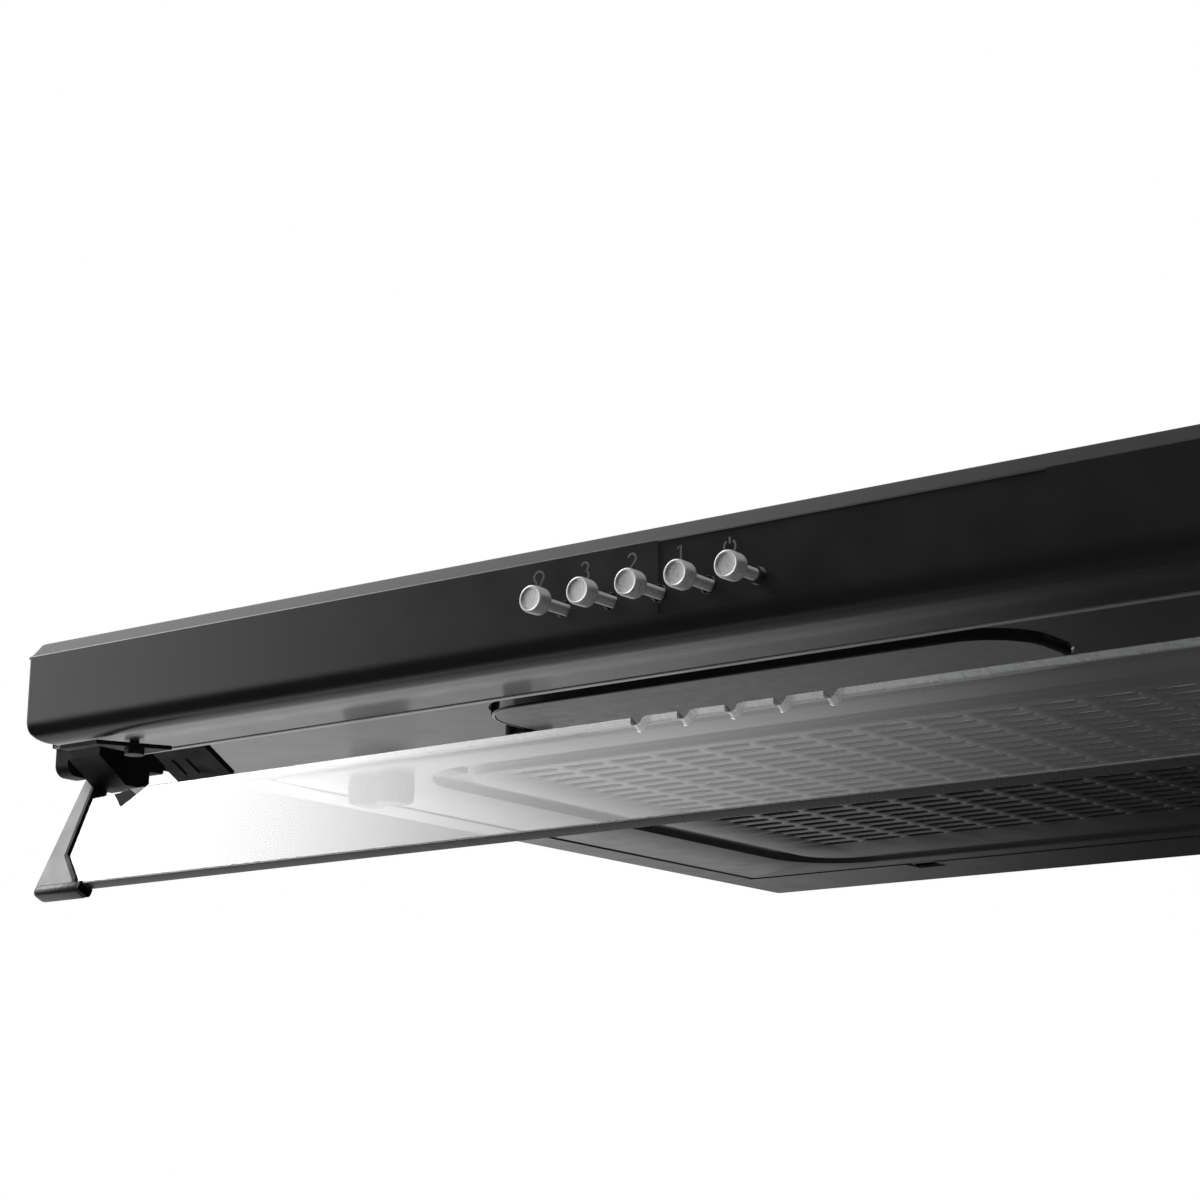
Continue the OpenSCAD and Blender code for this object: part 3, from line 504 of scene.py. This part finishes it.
def make_fascia():
    edge_r, low_r, top_r = 1.5, 8.0, 5.0
    profile = front_profile(FASCIA_TOP, FACE_LOW)
    near = end_stations(edge_r, low_r, top_r)
    stations = [(-1, e) for e in near] + [(0, HALF_W)] + [(1, e) for e in reversed(near)]
    loops = []

    def across(r, e):
        """Half width of a circle of radius r, at e from the end that it rounds."""
        return math.sqrt(max(0.0, r ** 2 - max(0.0, r - e) ** 2))

    for side, e in stations:
        x = side * (HALF_W - e)
        inset = edge_r - across(edge_r, e)
        low = low_r - across(low_r, e)
        high = FASCIA_TOP - top_r + across(top_r, e)
        loops.append([
            at(x, min(FASCIA_D, d - nd * inset), max(low, min(high, h - nh * inset)))
            for d, h, nd, nh in profile
        ])
    verts, faces = capped(loops, closed=False)
    o = new_object("fascia_front", verts, faces, "fascia_paint", "housing", 30)
    shell = o.modifiers.new("sheet", "SOLIDIFY")
    shell.thickness = SHEET_T * MM
    shell.offset = -1
    cutters = []
    for x in BUTTON_X:
        v, f = lathe([(BUTTON_HOLE_R, -2), (BUTTON_HOLE_R, 3)], at(x, 0, BUTTON_H), 32)
        me = bpy.data.meshes.new("cut")
        me.from_pydata([tuple(p) for p in v], [], f)
        c = bpy.data.objects.new("cut", me)
        scene.collection.objects.link(c)
        m = o.modifiers.new("hole", "BOOLEAN")
        m.operation = "DIFFERENCE"
        m.object = c
        cutters.append(c)
    settle(o)
    for c in cutters:
        bpy.data.objects.remove(c)
    o.data.set_sharp_from_angle(angle=math.radians(30))
    flat = o.modifiers.new("normals", "WEIGHTED_NORMAL")
    flat.weight = 100
    flat.keep_sharp = True
    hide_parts("front_fascia")

    # return flange, folded into a rounded lip
    flange = [(FASCIA_D, 0), (37.6, 0), (38.2, 0.5), (37.6, SHEET_T), (FASCIA_D, SHEET_T)]
    # the rolled lip of the black painted sheet gets a light metal colour: a painted highlight along
    # its edge
    lip = arc(39, 0.5, 1.5, 180, 450, 15) + [(38.6, 1.2), (38.3, 0.6)]
    ends = [-HALF_W + 1.1, HALF_W - 1.1]
    for name, outline, slot in (
        ("fascia_flange", flange, "flange_paint"),
        ("fascia_lip", lip, "lip_trim"),
    ):
        verts, faces = capped([[at(x, d, h) for d, h in outline] for x in ends])
        new_object(name, verts, faces, slot, "housing", 50)


def ribbon(points, width, closed=False):
    """Left and right edges of a stroke through the points."""
    n = len(points)
    left, right = [], []
    for i, p in enumerate(points):
        a = points[i - 1] if (i > 0 or closed) else p
        b = points[(i + 1) % n] if (i < n - 1 or closed) else p
        t = Vector((b[0] - a[0], b[1] - a[1])).normalized()
        s = Vector((-t.y, t.x)) * width / 2
        left.append((p[0] + s.x, p[1] + s.y))
        right.append((p[0] - s.x, p[1] - s.y))
    return left, right


def arc(cx, cy, r, start, end, steps=18):
    return [
        (cx + r * math.cos(math.radians(start + (end - start) * k / steps)),
         cy + r * math.sin(math.radians(start + (end - start) * k / steps)))
        for k in range(steps + 1)
    ]


def make_icons():
    """Symbols printed left of each button: lamp, the speeds 3, 2, 1, and on/off."""
    shift_x, symbol_h, stroke_w = -10.4, 27.6, 0.75
    symbols = [
        [arc(0, 0.75, 2.0, -58, 238), [(-1.0, -1.0), (-1.0, -2.2), (1.0, -2.2), (1.0, -1.0)]],
        [arc(0, 1.5, 1.45, 160, -75, 14) + arc(0, -1.45, 1.6, 75, -160, 16)],
        [arc(0, 1.35, 1.6, 165, -35, 14) + [(-1.7, -2.95), (1.8, -2.95)]],
        [[(-1.1, 1.9), (0.3, 3.0), (0.3, -3.0)]],
        [arc(0, -0.6, 2.2, 125, 415, 26), [(0, 0.4), (0, 2.6)]],
    ]
    verts, faces = [], []
    for x, strokes in zip(BUTTON_X, symbols):
        for stroke in strokes:
            left, right = ribbon(stroke, stroke_w)
            base = len(verts)
            m = len(left)
            for depth in (-0.05, 0.02):
                for edge in (left, right):
                    verts += [at(x + shift_x + u, depth, symbol_h + v) for u, v in edge]
            for i in range(m - 1):
                a, b, c, d = base + i, base + m + i, base + 2 * m + i, base + 3 * m + i
                faces += [(a, a + 1, b + 1, b), (c, d, d + 1, c + 1)]
                faces += [(a, c, c + 1, a + 1), (b, b + 1, d + 1, d)]
            for i in (0, m - 1):
                faces.append((base + i, base + m + i, base + 3 * m + i, base + 2 * m + i))
    new_object("button_symbols", verts, faces, "print_grey", "housing")


def make_buttons():
    names = ["button_light", "button_speed_3", "button_speed_2", "button_speed_1", "button_power"]
    # (radius, depth): dished face with a raised rim, cap, neck, stem with its collar, tail
    outline = [
        (0.01, -16.85), (1.4, -16.85), (2.6, -16.88), (3.25, -16.92), (3.45, -17.1),
        (3.55, -17.4), (3.7, -17.5), (4.15, -17.5), (4.42, -17.4), (4.55, -17.2),
        (4.6, -16.9), (4.6, -12.4), (4.45, -11.9), (4.1, -11.6), (2.1, -11.5),
        (1.5, -11.3), (1.5, -10.2), (2.0, -10.0), (2.0, 6.0), (3.0, 6.0),
        (3.0, 7.5), (2.0, 7.5), (2.0, 25.8), (1.8, 26.0), (0.01, 26.0),
    ]
    for name, x in zip(names, BUTTON_X):
        verts, faces = lathe(outline, at(x, 0, BUTTON_H))
        o = new_object(name + "_turned", verts, faces, "button_metal", BODY_OF[name], 38)
        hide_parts(name)
        o.visible_glossy = False


# the open visor's own frame: x along it, v from the front of the pane to its back, w up the pane
VISOR_AXIS = Vector(JOINTS["visor_fold"]["pos_m"])
LEAN = math.radians(26.0)
GLASS_V0, GLASS_T = -2.75, 4.0
GLASS_TOP = 6.5
VISOR_FOOT = -49.5
NOTCH_PITCH, NOTCH_MIDDLE = 19.0, 9.0


def on_visor(x, v, w):
    c, s = math.cos(-LEAN), math.sin(-LEAN)
    return VISOR_AXIS + Vector((x, v * c - w * s, v * s + w * c)) * MM


def glass_outline(foot):
    e = HALF_W
    top = -GLASS_TOP
    half = [(e - 28, top), (e - 24, top - 1.5), (e - 7, -9), (e - 8.4, -36.5),
            (e - 20, foot + 4), (e - 20.3, foot)]
    radii = [2.0, 2.0, 1.5, 3.0, 3.0, 0.4]
    outline = rounded(half + [(-x, w) for x, w in reversed(half)], radii + radii[::-1])
    # notches in the upper edge, cut from the left end of that edge to the right
    notches = []
    for i in range(5):
        x = NOTCH_MIDDLE + (i - 2) * NOTCH_PITCH
        notches += [(x - 2.9, top), (x - 2.3, top - 0.35), (x - 2.05, top - 1.1)]
        notches += arc(x, top - 1.5, 2.0, 180, 360, 6)
        notches += [(x + 2.05, top - 1.1), (x + 2.3, top - 0.35), (x + 2.9, top)]
    return outline + notches


def make_visor():
    foot = VISOR_FOOT + 0.35
    glass_v1 = GLASS_V0 + GLASS_T
    verts, faces = slab(glass_outline(foot), GLASS_V0, glass_v1, lambda x, w, v: on_visor(x, v, w))
    glass = new_object("visor_pane", verts, faces, "visor_glass", "visor", 30)
    settle(bevel(glass, 0.45, 2, 50))
    glass.data.materials.append(MATERIALS["glass_rim"])
    across = (on_visor(0, 1, 0) - on_visor(0, 0, 0)).normalized()
    for face in glass.data.polygons:
        on_side = abs(face.normal.dot(across)) > 0.99
        by_cap = abs(face.center.x) > (HALF_W - 29) * MM
        face.material_index = 0 if on_side or by_cap else 1
    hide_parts("visor_glass")

    # dark strip wrapped round the lower edge of the pane, along the foot
    front, back, low, high = GLASS_V0 - 0.1, glass_v1 + 0.1, VISOR_FOOT - 0.2, foot + 0.1
    section = rounded(
        [(front, high), (front, low), (back, low), (back, high)], [0.1, 0.25, 0.25, 0.1], 4
    )
    ends = [-HALF_W + 22, HALF_W - 22]
    verts, faces = capped([[on_visor(x, v, w) for v, w in section] for x in ends])
    new_object("visor_edge", verts, faces, "visor_trim", "visor", 40)

    for side, end in ((-1, "left"), (1, "right")):
        def place(e, w, v, side=side):
            return on_visor(side * (HALF_W - e), v, w)

        arm = rounded(
            [(0.8, 2.0), (7.0, 2.0), (7.6, -10), (9.8, -36), (20.6, -47.6), (21.2, VISOR_FOOT),
             (0.8, VISOR_FOOT)],
            [2.0, 1.5, 3.0, 2.5, 1.5, 0.6, 0.8], 4,
        )
        verts, faces = slab(arm, -3.4, 3.4, place)
        o = new_object(f"visor_arm_{end}", verts, faces, "visor_cap", "visor", 30)
        bevel(o, 0.5, 2, 40)
        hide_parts(f"visor_cap_{end}")
        # black strip along the arm's inner edge, between the arm and the pane
        line = [(7.2, 1.0), (8.0, -10), (10.2, -35.6), (21.2, -47.2), (22.0, -49.4)]
        left, right = ribbon(line, 1.5)
        verts, faces = slab(left + list(reversed(right)), -3.6, 3.3, place)
        new_object(f"visor_seal_{end}", verts, faces, "black_plastic", "visor", 30)
        # rounded foot
        section = rounded(
            [(-4.0, -48.8), (-4.0, -52.9), (3.4, -52.9), (3.4, -48.8)], [1.0, 2.0, 2.0, 1.0]
        )
        mid_v, mid_w = -0.3, -50.9
        loops = []
        for e, k in ((0.8, 0.55), (1.1, 0.8), (1.9, 0.95), (3.0, 1.0), (23.8, 1.0), (24.6, 0.93)):
            loops.append([
                place(e, mid_w + (w - mid_w) * k, mid_v + (v - mid_v) * k) for v, w in section
            ])
        verts, faces = capped(loops)
        new_object(f"visor_foot_{end}", verts, faces, "visor_trim", "visor", 50)
        # clip that holds the pane in the foot
        section = rounded(
            [(-3.7, -48.6), (-3.7, -52.6), (3.1, -52.6), (3.1, -48.6)], [0.8, 1.4, 1.4, 0.8], 4
        )
        verts, faces = capped([[place(e, w, v) for v, w in section] for e in (24.0, 26.2)])
        new_object(f"visor_foot_clip_{end}", verts, faces, "black_plastic", "visor", 50)


def make_lens():
    """Hanging lamp lens: a dark glossy wall round a duller face."""
    x0, x1, d0, d1, r, low, high = -118.2, 104.2, 45.3, 101.2, 23.2, -2.5, 3.6

    def outline(inset, h):
        points = ring(
            x0 + inset, x1 - inset, d0 + inset, d1 - inset, r - inset, 12, (8, 4)
        )
        return [at(x, d, h) for x, d in points]

    levels = [
        (1.9, high), (0.0, high), (0.0, low + 1.0), (0.1, low + 0.55), (0.4, low + 0.15),
        (0.9, low), (1.4, low + 0.02), (1.6, low + 0.3), (1.9, low + 0.6),
    ]
    verts, faces = loop_grid([outline(i, h) for i, h in levels], close_loops=True)
    o = new_object("lamp_lens_wall", verts, faces, "lens_wall", "housing", 40)
    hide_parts("lamp_diffuser")
    for x, end in ((-89, "left"), (75, "right")):
        hook = [(x - 8, 99.4), (x + 8, 99.4), (x + 8, 104), (x - 8, 104)]
        verts, faces = slab(hook, 3.1, 4.3, at)
        bevel(new_object(f"lamp_lens_hook_{end}", verts, faces, "lens_wall", "housing"), 0.3)
    levels = [(1.75, low + 1.9), (1.75, low + 0.35), (1.9, low + 0.22), (2.4, low + 0.18)]
    verts, faces = capped([outline(i, h) for i, h in levels])
    new_object("lamp_lens_face", verts, faces, "diffuser", "housing", 40)


def ring(x0, x1, y0, y1, r, steps, straight):
    """A rounded rectangle whose number of points doesn't depend on its size.

    straight gives the number of steps along its x sides and its y sides.
    """
    pts = []
    nx, ny = straight
    ax, bx, ay, by = x0 + r, x1 - r, y0 + r, y1 - r
    corners = [(bx, ay, -90), (bx, by, 0), (ax, by, 90), (ax, ay, 180)]
    sides = [
        ((ax, y0), (bx, y0), nx), ((x1, ay), (x1, by), ny),
        ((bx, y1), (ax, y1), nx), ((x0, by), (x0, ay), ny),
    ]
    for (a, b, n), (cx, cy, start) in zip(sides, corners):
        for k in range(1, n):
            t = k / n
            pts.append((a[0] + (b[0] - a[0]) * t, a[1] + (b[1] - a[1]) * t))
        pts += arc(cx, cy, r, start, start + 90, steps)
    return pts


def stadium(cx, cy, length, width, grow, steps=6):
    """A slot with round ends, as a closed outline grown outwards."""
    r = width / 2 + grow
    half = length / 2 - width / 2
    return arc(cx + half, cy, r, -90, 90, steps) + arc(cx - half, cy, r, 90, 270, steps)


def make_grille():
    """Pressed sheet with a groove and slots; every press line and slot edge is rounded."""
    bm = bmesh.new()
    lo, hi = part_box("grille_panel")
    half_x = hi.x / MM
    d0, d1 = (lo.y - FRONT_Y) / MM, 470.5
    lip = 8.0
    groove_x, groove_d0, groove_d1, groove_r = 232, 134, 454, 40

    def add_loop(points, h):
        vs = [bm.verts.new(at(x, d, h)) for x, d in points]
        es = [bm.edges.new((vs[i], vs[(i + 1) % len(vs)])) for i in range(len(vs))]
        return vs, es

    def skin(a, b):
        n = len(a)
        for i in range(n):
            bm.faces.new((a[i], a[(i + 1) % n], b[(i + 1) % n], b[i]))

    def chain(levels):
        """Joined loops; returns the edges of the first and the last."""
        made = [add_loop(p, h) for p, h in levels]
        for (a, _), (b, _) in zip(made, made[1:]):
            skin(a, b)
        return made[0][1], made[-1][1]

    sides = (10, 8)

    def frame_ring(inset, r):
        return ring(-half_x + inset, half_x - inset, d0 + inset, d1 - inset, r, 4, sides)

    # turned-up edge, from the flat underside out and up, over its rim and down inside
    bend = [  # (inset, height, corner radius)
        (2.2, 0.0, 1.2), (1.1, 0.25, 1.6), (0.35, 0.95, 2.0), (0.0, 2.0, 2.2),
        (0.0, lip - 0.3, 2.2), (0.2, lip, 2.0), (0.8, lip, 1.4), (1.0, lip - 0.3, 1.2),
        (1.0, 2.3, 1.2), (1.5, 1.3, 1.0), (2.4, 1.0, 0.8),
    ]
    under_out, top_out = chain([(frame_ring(i, r), h) for i, h, r in bend])

    def groove(inset):
        return ring(
            -groove_x + inset, groove_x - inset, groove_d0 + inset, groove_d1 - inset,
            groove_r - inset, 12, sides,
        )

    width, rise = 17.5, 2.5
    wall = [(-0.5, 0.0), (0.35, 0.12), (1.0, 0.75), (1.9, 2.0), (2.7, 2.42), (3.6, rise)]
    press = wall + [(width - i, h) for i, h in reversed(wall)]
    outer, inner = chain([(groove(i), h) for i, h in press])
    outer_top, inner_top = chain([(groove(i), h + SHEET_T) for i, h in press])

    # slots
    holes, holes_top = [], []
    columns, rows, pitch_x, pitch_d, first_d = 16, 22, 23.4, 11.0, 160
    slot_l, slot_w = 18.6, 5.0
    edge = ((0.45, 0.0), (0.12, 0.14), (0.0, 0.45), (0.0, SHEET_T))
    for i in range(columns):
        for j in range(rows):
            cx, cd = (i - (columns - 1) / 2) * pitch_x, first_d + j * pitch_d
            first, last = chain([(stadium(cx, cd, slot_l, slot_w, g), h) for g, h in edge])
            holes += first
            holes_top += last
    # way for the latch necks
    for x0, x1 in ((-253.2, -232.9), (232.9, 253.2)):
        outline = ring(x0, x1, 142.6, 149.4, 2.5, 3, (2, 2))
        first, last = chain([(outline, 0.0), (outline, SHEET_T)])
        under_out += first
        top_out += last
    for edges in (
        under_out + outer, inner + holes, top_out + outer_top, inner_top + holes_top
    ):
        bmesh.ops.triangle_fill(bm, use_beauty=True, edges=edges)
    me = bpy.data.meshes.new("grille_sheet")
    bmesh.ops.recalc_face_normals(bm, faces=bm.faces)
    bm.to_mesh(me)
    bm.free()
    o = bpy.data.objects.new("grille_sheet", me)
    dress(o, "painted_sheet", "grille", 40)
    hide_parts("grille_panel")
    # hinge lugs
    lug = rounded(
        [(469.6, 1.6), (474, 1.5), (479, 0.6), (479, 5.4), (474, 6.0), (469.6, 6.0)],
        [0, 0.5, 2.4, 2.4, 0.5, 0],
    )
    for x, end in ((-180, "left"), (180, "right")):
        verts, faces = slab(lug, x - 7, x + 7, lambda d, h, w: at(w, d, h))
        new_object(f"grille_lug_{end}", verts, faces, "painted_sheet", "grille", 40)


def make_filter():
    """Fleece mat, soft at its edges and slightly uneven in thickness."""
    lo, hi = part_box("grease_filter")
    nx, ny = 92, 66

    def swell(u, v, s):
        """Uneven waves over the mat, finer with a larger s."""
        along = math.sin(u * 37.1 * s + math.sin(v * 23.7 * s) * 2.1)
        return along * math.sin(v * 41.3 * s + math.sin(u * 19.9 * s) * 1.7)

    verts, faces = [], []
    mid = (lo.z + hi.z) / 2
    half = (hi.z - lo.z) / 2
    for side in (-1, 1):
        for j in range(ny + 1):
            for i in range(nx + 1):
                u, v = i / nx, j / ny
                edge = min(i, nx - i, j, ny - j)
                fall = min(1.0, 0.35 + 0.3 * edge)
                rough = 0.35 * MM * (swell(u, v, 1.0) + 0.6 * swell(v, u, 2.7))
                z = mid + side * (half * fall - abs(rough) - (0.0 if side > 0 else 0.1 * MM))
                shift = 0.5 * MM if edge > 0 else 0
                x = lo.x + (hi.x - lo.x) * u + shift * swell(v, 0.3, 2.0)
                y = lo.y + (hi.y - lo.y) * v + shift * swell(u, 0.7, 2.0)
                verts.append((x, y, z))
    row, layer = nx + 1, (nx + 1) * (ny + 1)
    for s in (0, 1):
        for j in range(ny):
            for i in range(nx):
                a = s * layer + j * row + i
                faces.append((a, a + 1, a + row + 1, a + row))
    rim = list(range(nx)) + [nx + j * row for j in range(ny)]
    rim += [ny * row + i for i in range(nx, 0, -1)] + [j * row for j in range(ny, 0, -1)]
    for a, b in zip(rim, rim[1:] + rim[:1]):
        faces.append((a, b, b + layer, a + layer))
    o = new_object("filter_mat", verts, faces, "filter_fleece", "grille", 60)
    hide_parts("grease_filter")


def make_latches():
    for side, end in ((-1, "left"), (1, "right")):
        body = f"latch_{end}"
        cx, cd = side * 248.0, 146.0

        def place(x, d, h, cx=cx, cd=cd, side=side):
            return at(cx - side * x, cd + d, h)

        # finger grip: two lobes with a waist, drawn in to its foot
        side_points = [(-13, -8), (-4.6, -8), (-3.0, -5.2), (3.0, -5.2), (4.6, -8), (13, -8)]
        radii = [3, 1.6, 2.5, 2.5, 1.6, 3]
        grip = rounded(side_points + [(u, -v) for u, v in reversed(side_points)], radii * 2)
        levels = (
            (1.0, -0.3), (1.0, -2.0), (0.985, -6.8), (0.955, -8.0), (0.90, -8.6), (0.82, -8.8)
        )
        verts, faces = capped([[place(u * k, v * k, h) for u, v in grip] for k, h in levels])
        o = new_object(f"latch_grip_{end}", verts, faces, "latch_plastic", body, 40)
        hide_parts(body)
        verts, faces = slab([(-5, -3), (5, -3), (5, 3), (-5, 3)], -1.0, 2.0, place)
        bevel(new_object(f"latch_neck_{end}", verts, faces, "latch_plastic", body), 0.4)
        outline = rounded([(-7, -7), (42, -7), (42, 7), (-7, 7)], [1, 2, 2, 1], 4)
        verts, faces = slab(outline, 1.2, 3.2, place)
        bevel(new_object(f"latch_bolt_{end}", verts, faces, "latch_plastic", body), 0.3)


# ---------- stage ----------


def make_stage():
    bpy.ops.mesh.primitive_plane_add(size=14, location=(0, 0, UNDER_Z - 0.75))
    floor = bpy.context.object
    floor.name = "floor"
    n = Nodes("floor_paper")
    n.mottled(n.noise(2.0), (0.78, 0.78, 0.775), (0.80, 0.80, 0.795))
    n.link("Roughness", 0.9)
    floor.data.materials.append(n.mat)
    floor.visible_glossy = False


def make_world():
    """White for the camera; for the hood, light from the left and above that falls off."""
    world = bpy.data.worlds.new("studio")
    scene.world = world
    world.use_nodes = True
    t = world.node_tree
    t.nodes.clear()
    out = t.nodes.new("ShaderNodeOutputWorld")
    seen = t.nodes.new("ShaderNodeBackground")
    seen.inputs["Color"].default_value = (1, 1, 1, 1)
    seen.inputs["Strength"].default_value = 1.0
    light = t.nodes.new("ShaderNodeBackground")
    light.inputs["Color"].default_value = (1, 1, 1, 1)
    coord = t.nodes.new("ShaderNodeTexCoord")
    axes = t.nodes.new("ShaderNodeSeparateXYZ")
    t.links.new(coord.outputs["Generated"], axes.inputs[0])

    def times(a, b):
        return math_node(t, "MULTIPLY", a, b)

    def plus(a, b):
        return math_node(t, "ADD", a, b)

    def minus(a, b):
        return math_node(t, "SUBTRACT", a, b)

    left = times(axes.outputs["X"], -1.0)
    forward = times(axes.outputs["Y"], -1.0)
    side = smooth_ramp(t, left, 0.41, 0.74)
    far_side = smooth_ramp(t, left, 0.60, 0.72)
    strip_side = smooth_ramp(t, left, 0.62, 0.76, 1.9)
    up = smooth_ramp(t, axes.outputs["Z"], 0.30, 0.60)
    ahead = smooth_ramp(t, forward, 0.04, 0.26)
    # a soft box high up in front on the left, a wide wash beside it and a narrow strip low in front
    box = times(up, ahead)
    core = times(times(far_side, box), 4.5)
    gain = plus(times(box, 3.1), 0.85)
    gain = plus(gain, times(up, 0.25))
    wash = times(side, gain)
    low = times(ahead, minus(1.0, up))
    wash = times(wash, minus(1.0, low))
    level = smooth_ramp(t, axes.outputs["Z"], -0.25, 0.15)
    strip = times(times(strip_side, low), level)
    fill = plus(times(up, 0.37), 0.03)
    total = plus(plus(wash, strip), plus(core, fill))
    t.links.new(total, light.inputs["Strength"])
    # white where the camera looks straight at it, dim behind the pane
    path = t.nodes.new("ShaderNodeLightPath")
    clear = minus(1.0, smooth_ramp(t, path.outputs["Transparent Depth"], 0.1, 0.9, 0.95))
    t.links.new(clear, seen.inputs["Strength"])
    mix = t.nodes.new("ShaderNodeMixShader")
    t.links.new(path.outputs["Is Camera Ray"], mix.inputs[0])
    t.links.new(light.outputs[0], mix.inputs[1])
    t.links.new(seen.outputs[0], mix.inputs[2])
    t.links.new(mix.outputs[0], out.inputs["Surface"])


def area(name, place, target, size, power):
    """A soft light aimed at a point."""
    data = bpy.data.lights.new(name, "AREA")
    data.shape = "RECTANGLE"
    data.size, data.size_y = size
    data.energy = power
    o = bpy.data.objects.new(name, data)
    o.location = place
    o.rotation_euler = (Vector(target) - Vector(place)).to_track_quat("-Z", "Y").to_euler()
    scene.collection.objects.link(o)
    o.visible_camera = False
    o.visible_glossy = False


def make_camera():
    """Below and in front of the hood's right half, looking up to the left."""
    azimuth, elevation = math.radians(34.95), math.radians(14.05)
    flat = math.cos(elevation)
    ahead = Vector((-math.sin(azimuth) * flat, math.cos(azimuth) * flat, math.sin(elevation)))
    data = bpy.data.cameras.new("camera")
    data.sensor_width = 36.0
    data.lens = 78.18
    data.shift_x = -0.0875
    data.clip_start, data.clip_end = 0.02, 60.0
    cam = bpy.data.objects.new("camera", data)
    cam.location = (0.4764, -0.9702, -0.2711)
    cam.rotation_mode = "QUATERNION"
    cam.rotation_quaternion = ahead.to_track_quat("-Z", "Y")
    scene.collection.objects.link(cam)
    scene.camera = cam


make_camera()
make_stage()
make_world()
paint_nodes()
make_fascia()
make_icons()
make_buttons()
make_visor()
make_lens()
make_grille()
make_filter()
make_latches()
# CAD nodes whose shape is kept, and how much their edges are rounded
for node, width in (
    ("canopy_shell", 0.5), ("side_panel_left", 0.5), ("side_panel_right", 0.5),
    ("hinge_bracket_left", 0.7), ("hinge_bracket_right", 0.7), ("front_strip", 0.35),
    ("outlet_collar", 0.5), ("cable_gland", 0.5), ("diffuser_catch", 0.4),
    ("terminal_box", 0.8), ("terminal_lid", 0.4), ("scroll_housing", 0.5),
    ("scroll_cover", 0.3), ("lamp_tray", 0.5), ("latch_guides", 0.3),
    ("capacitor", 0.8), ("switch_bank", 0.4),
):
    softened(node, width)
# the pane mirrors the soft box, not the front of the hood close above it
NOT_MIRRORED = (
    "fascia_", "button_", "canopy_shell", "front_strip", "switch_", "lamp_", "hinge_"
)
for o in scene.objects:
    if o.name.startswith(NOT_MIRRORED):
        o.visible_glossy = False
area("key", (-1.4, -1.6, 1.9), (0, 0, 0), (1.6, 1.6), 18)
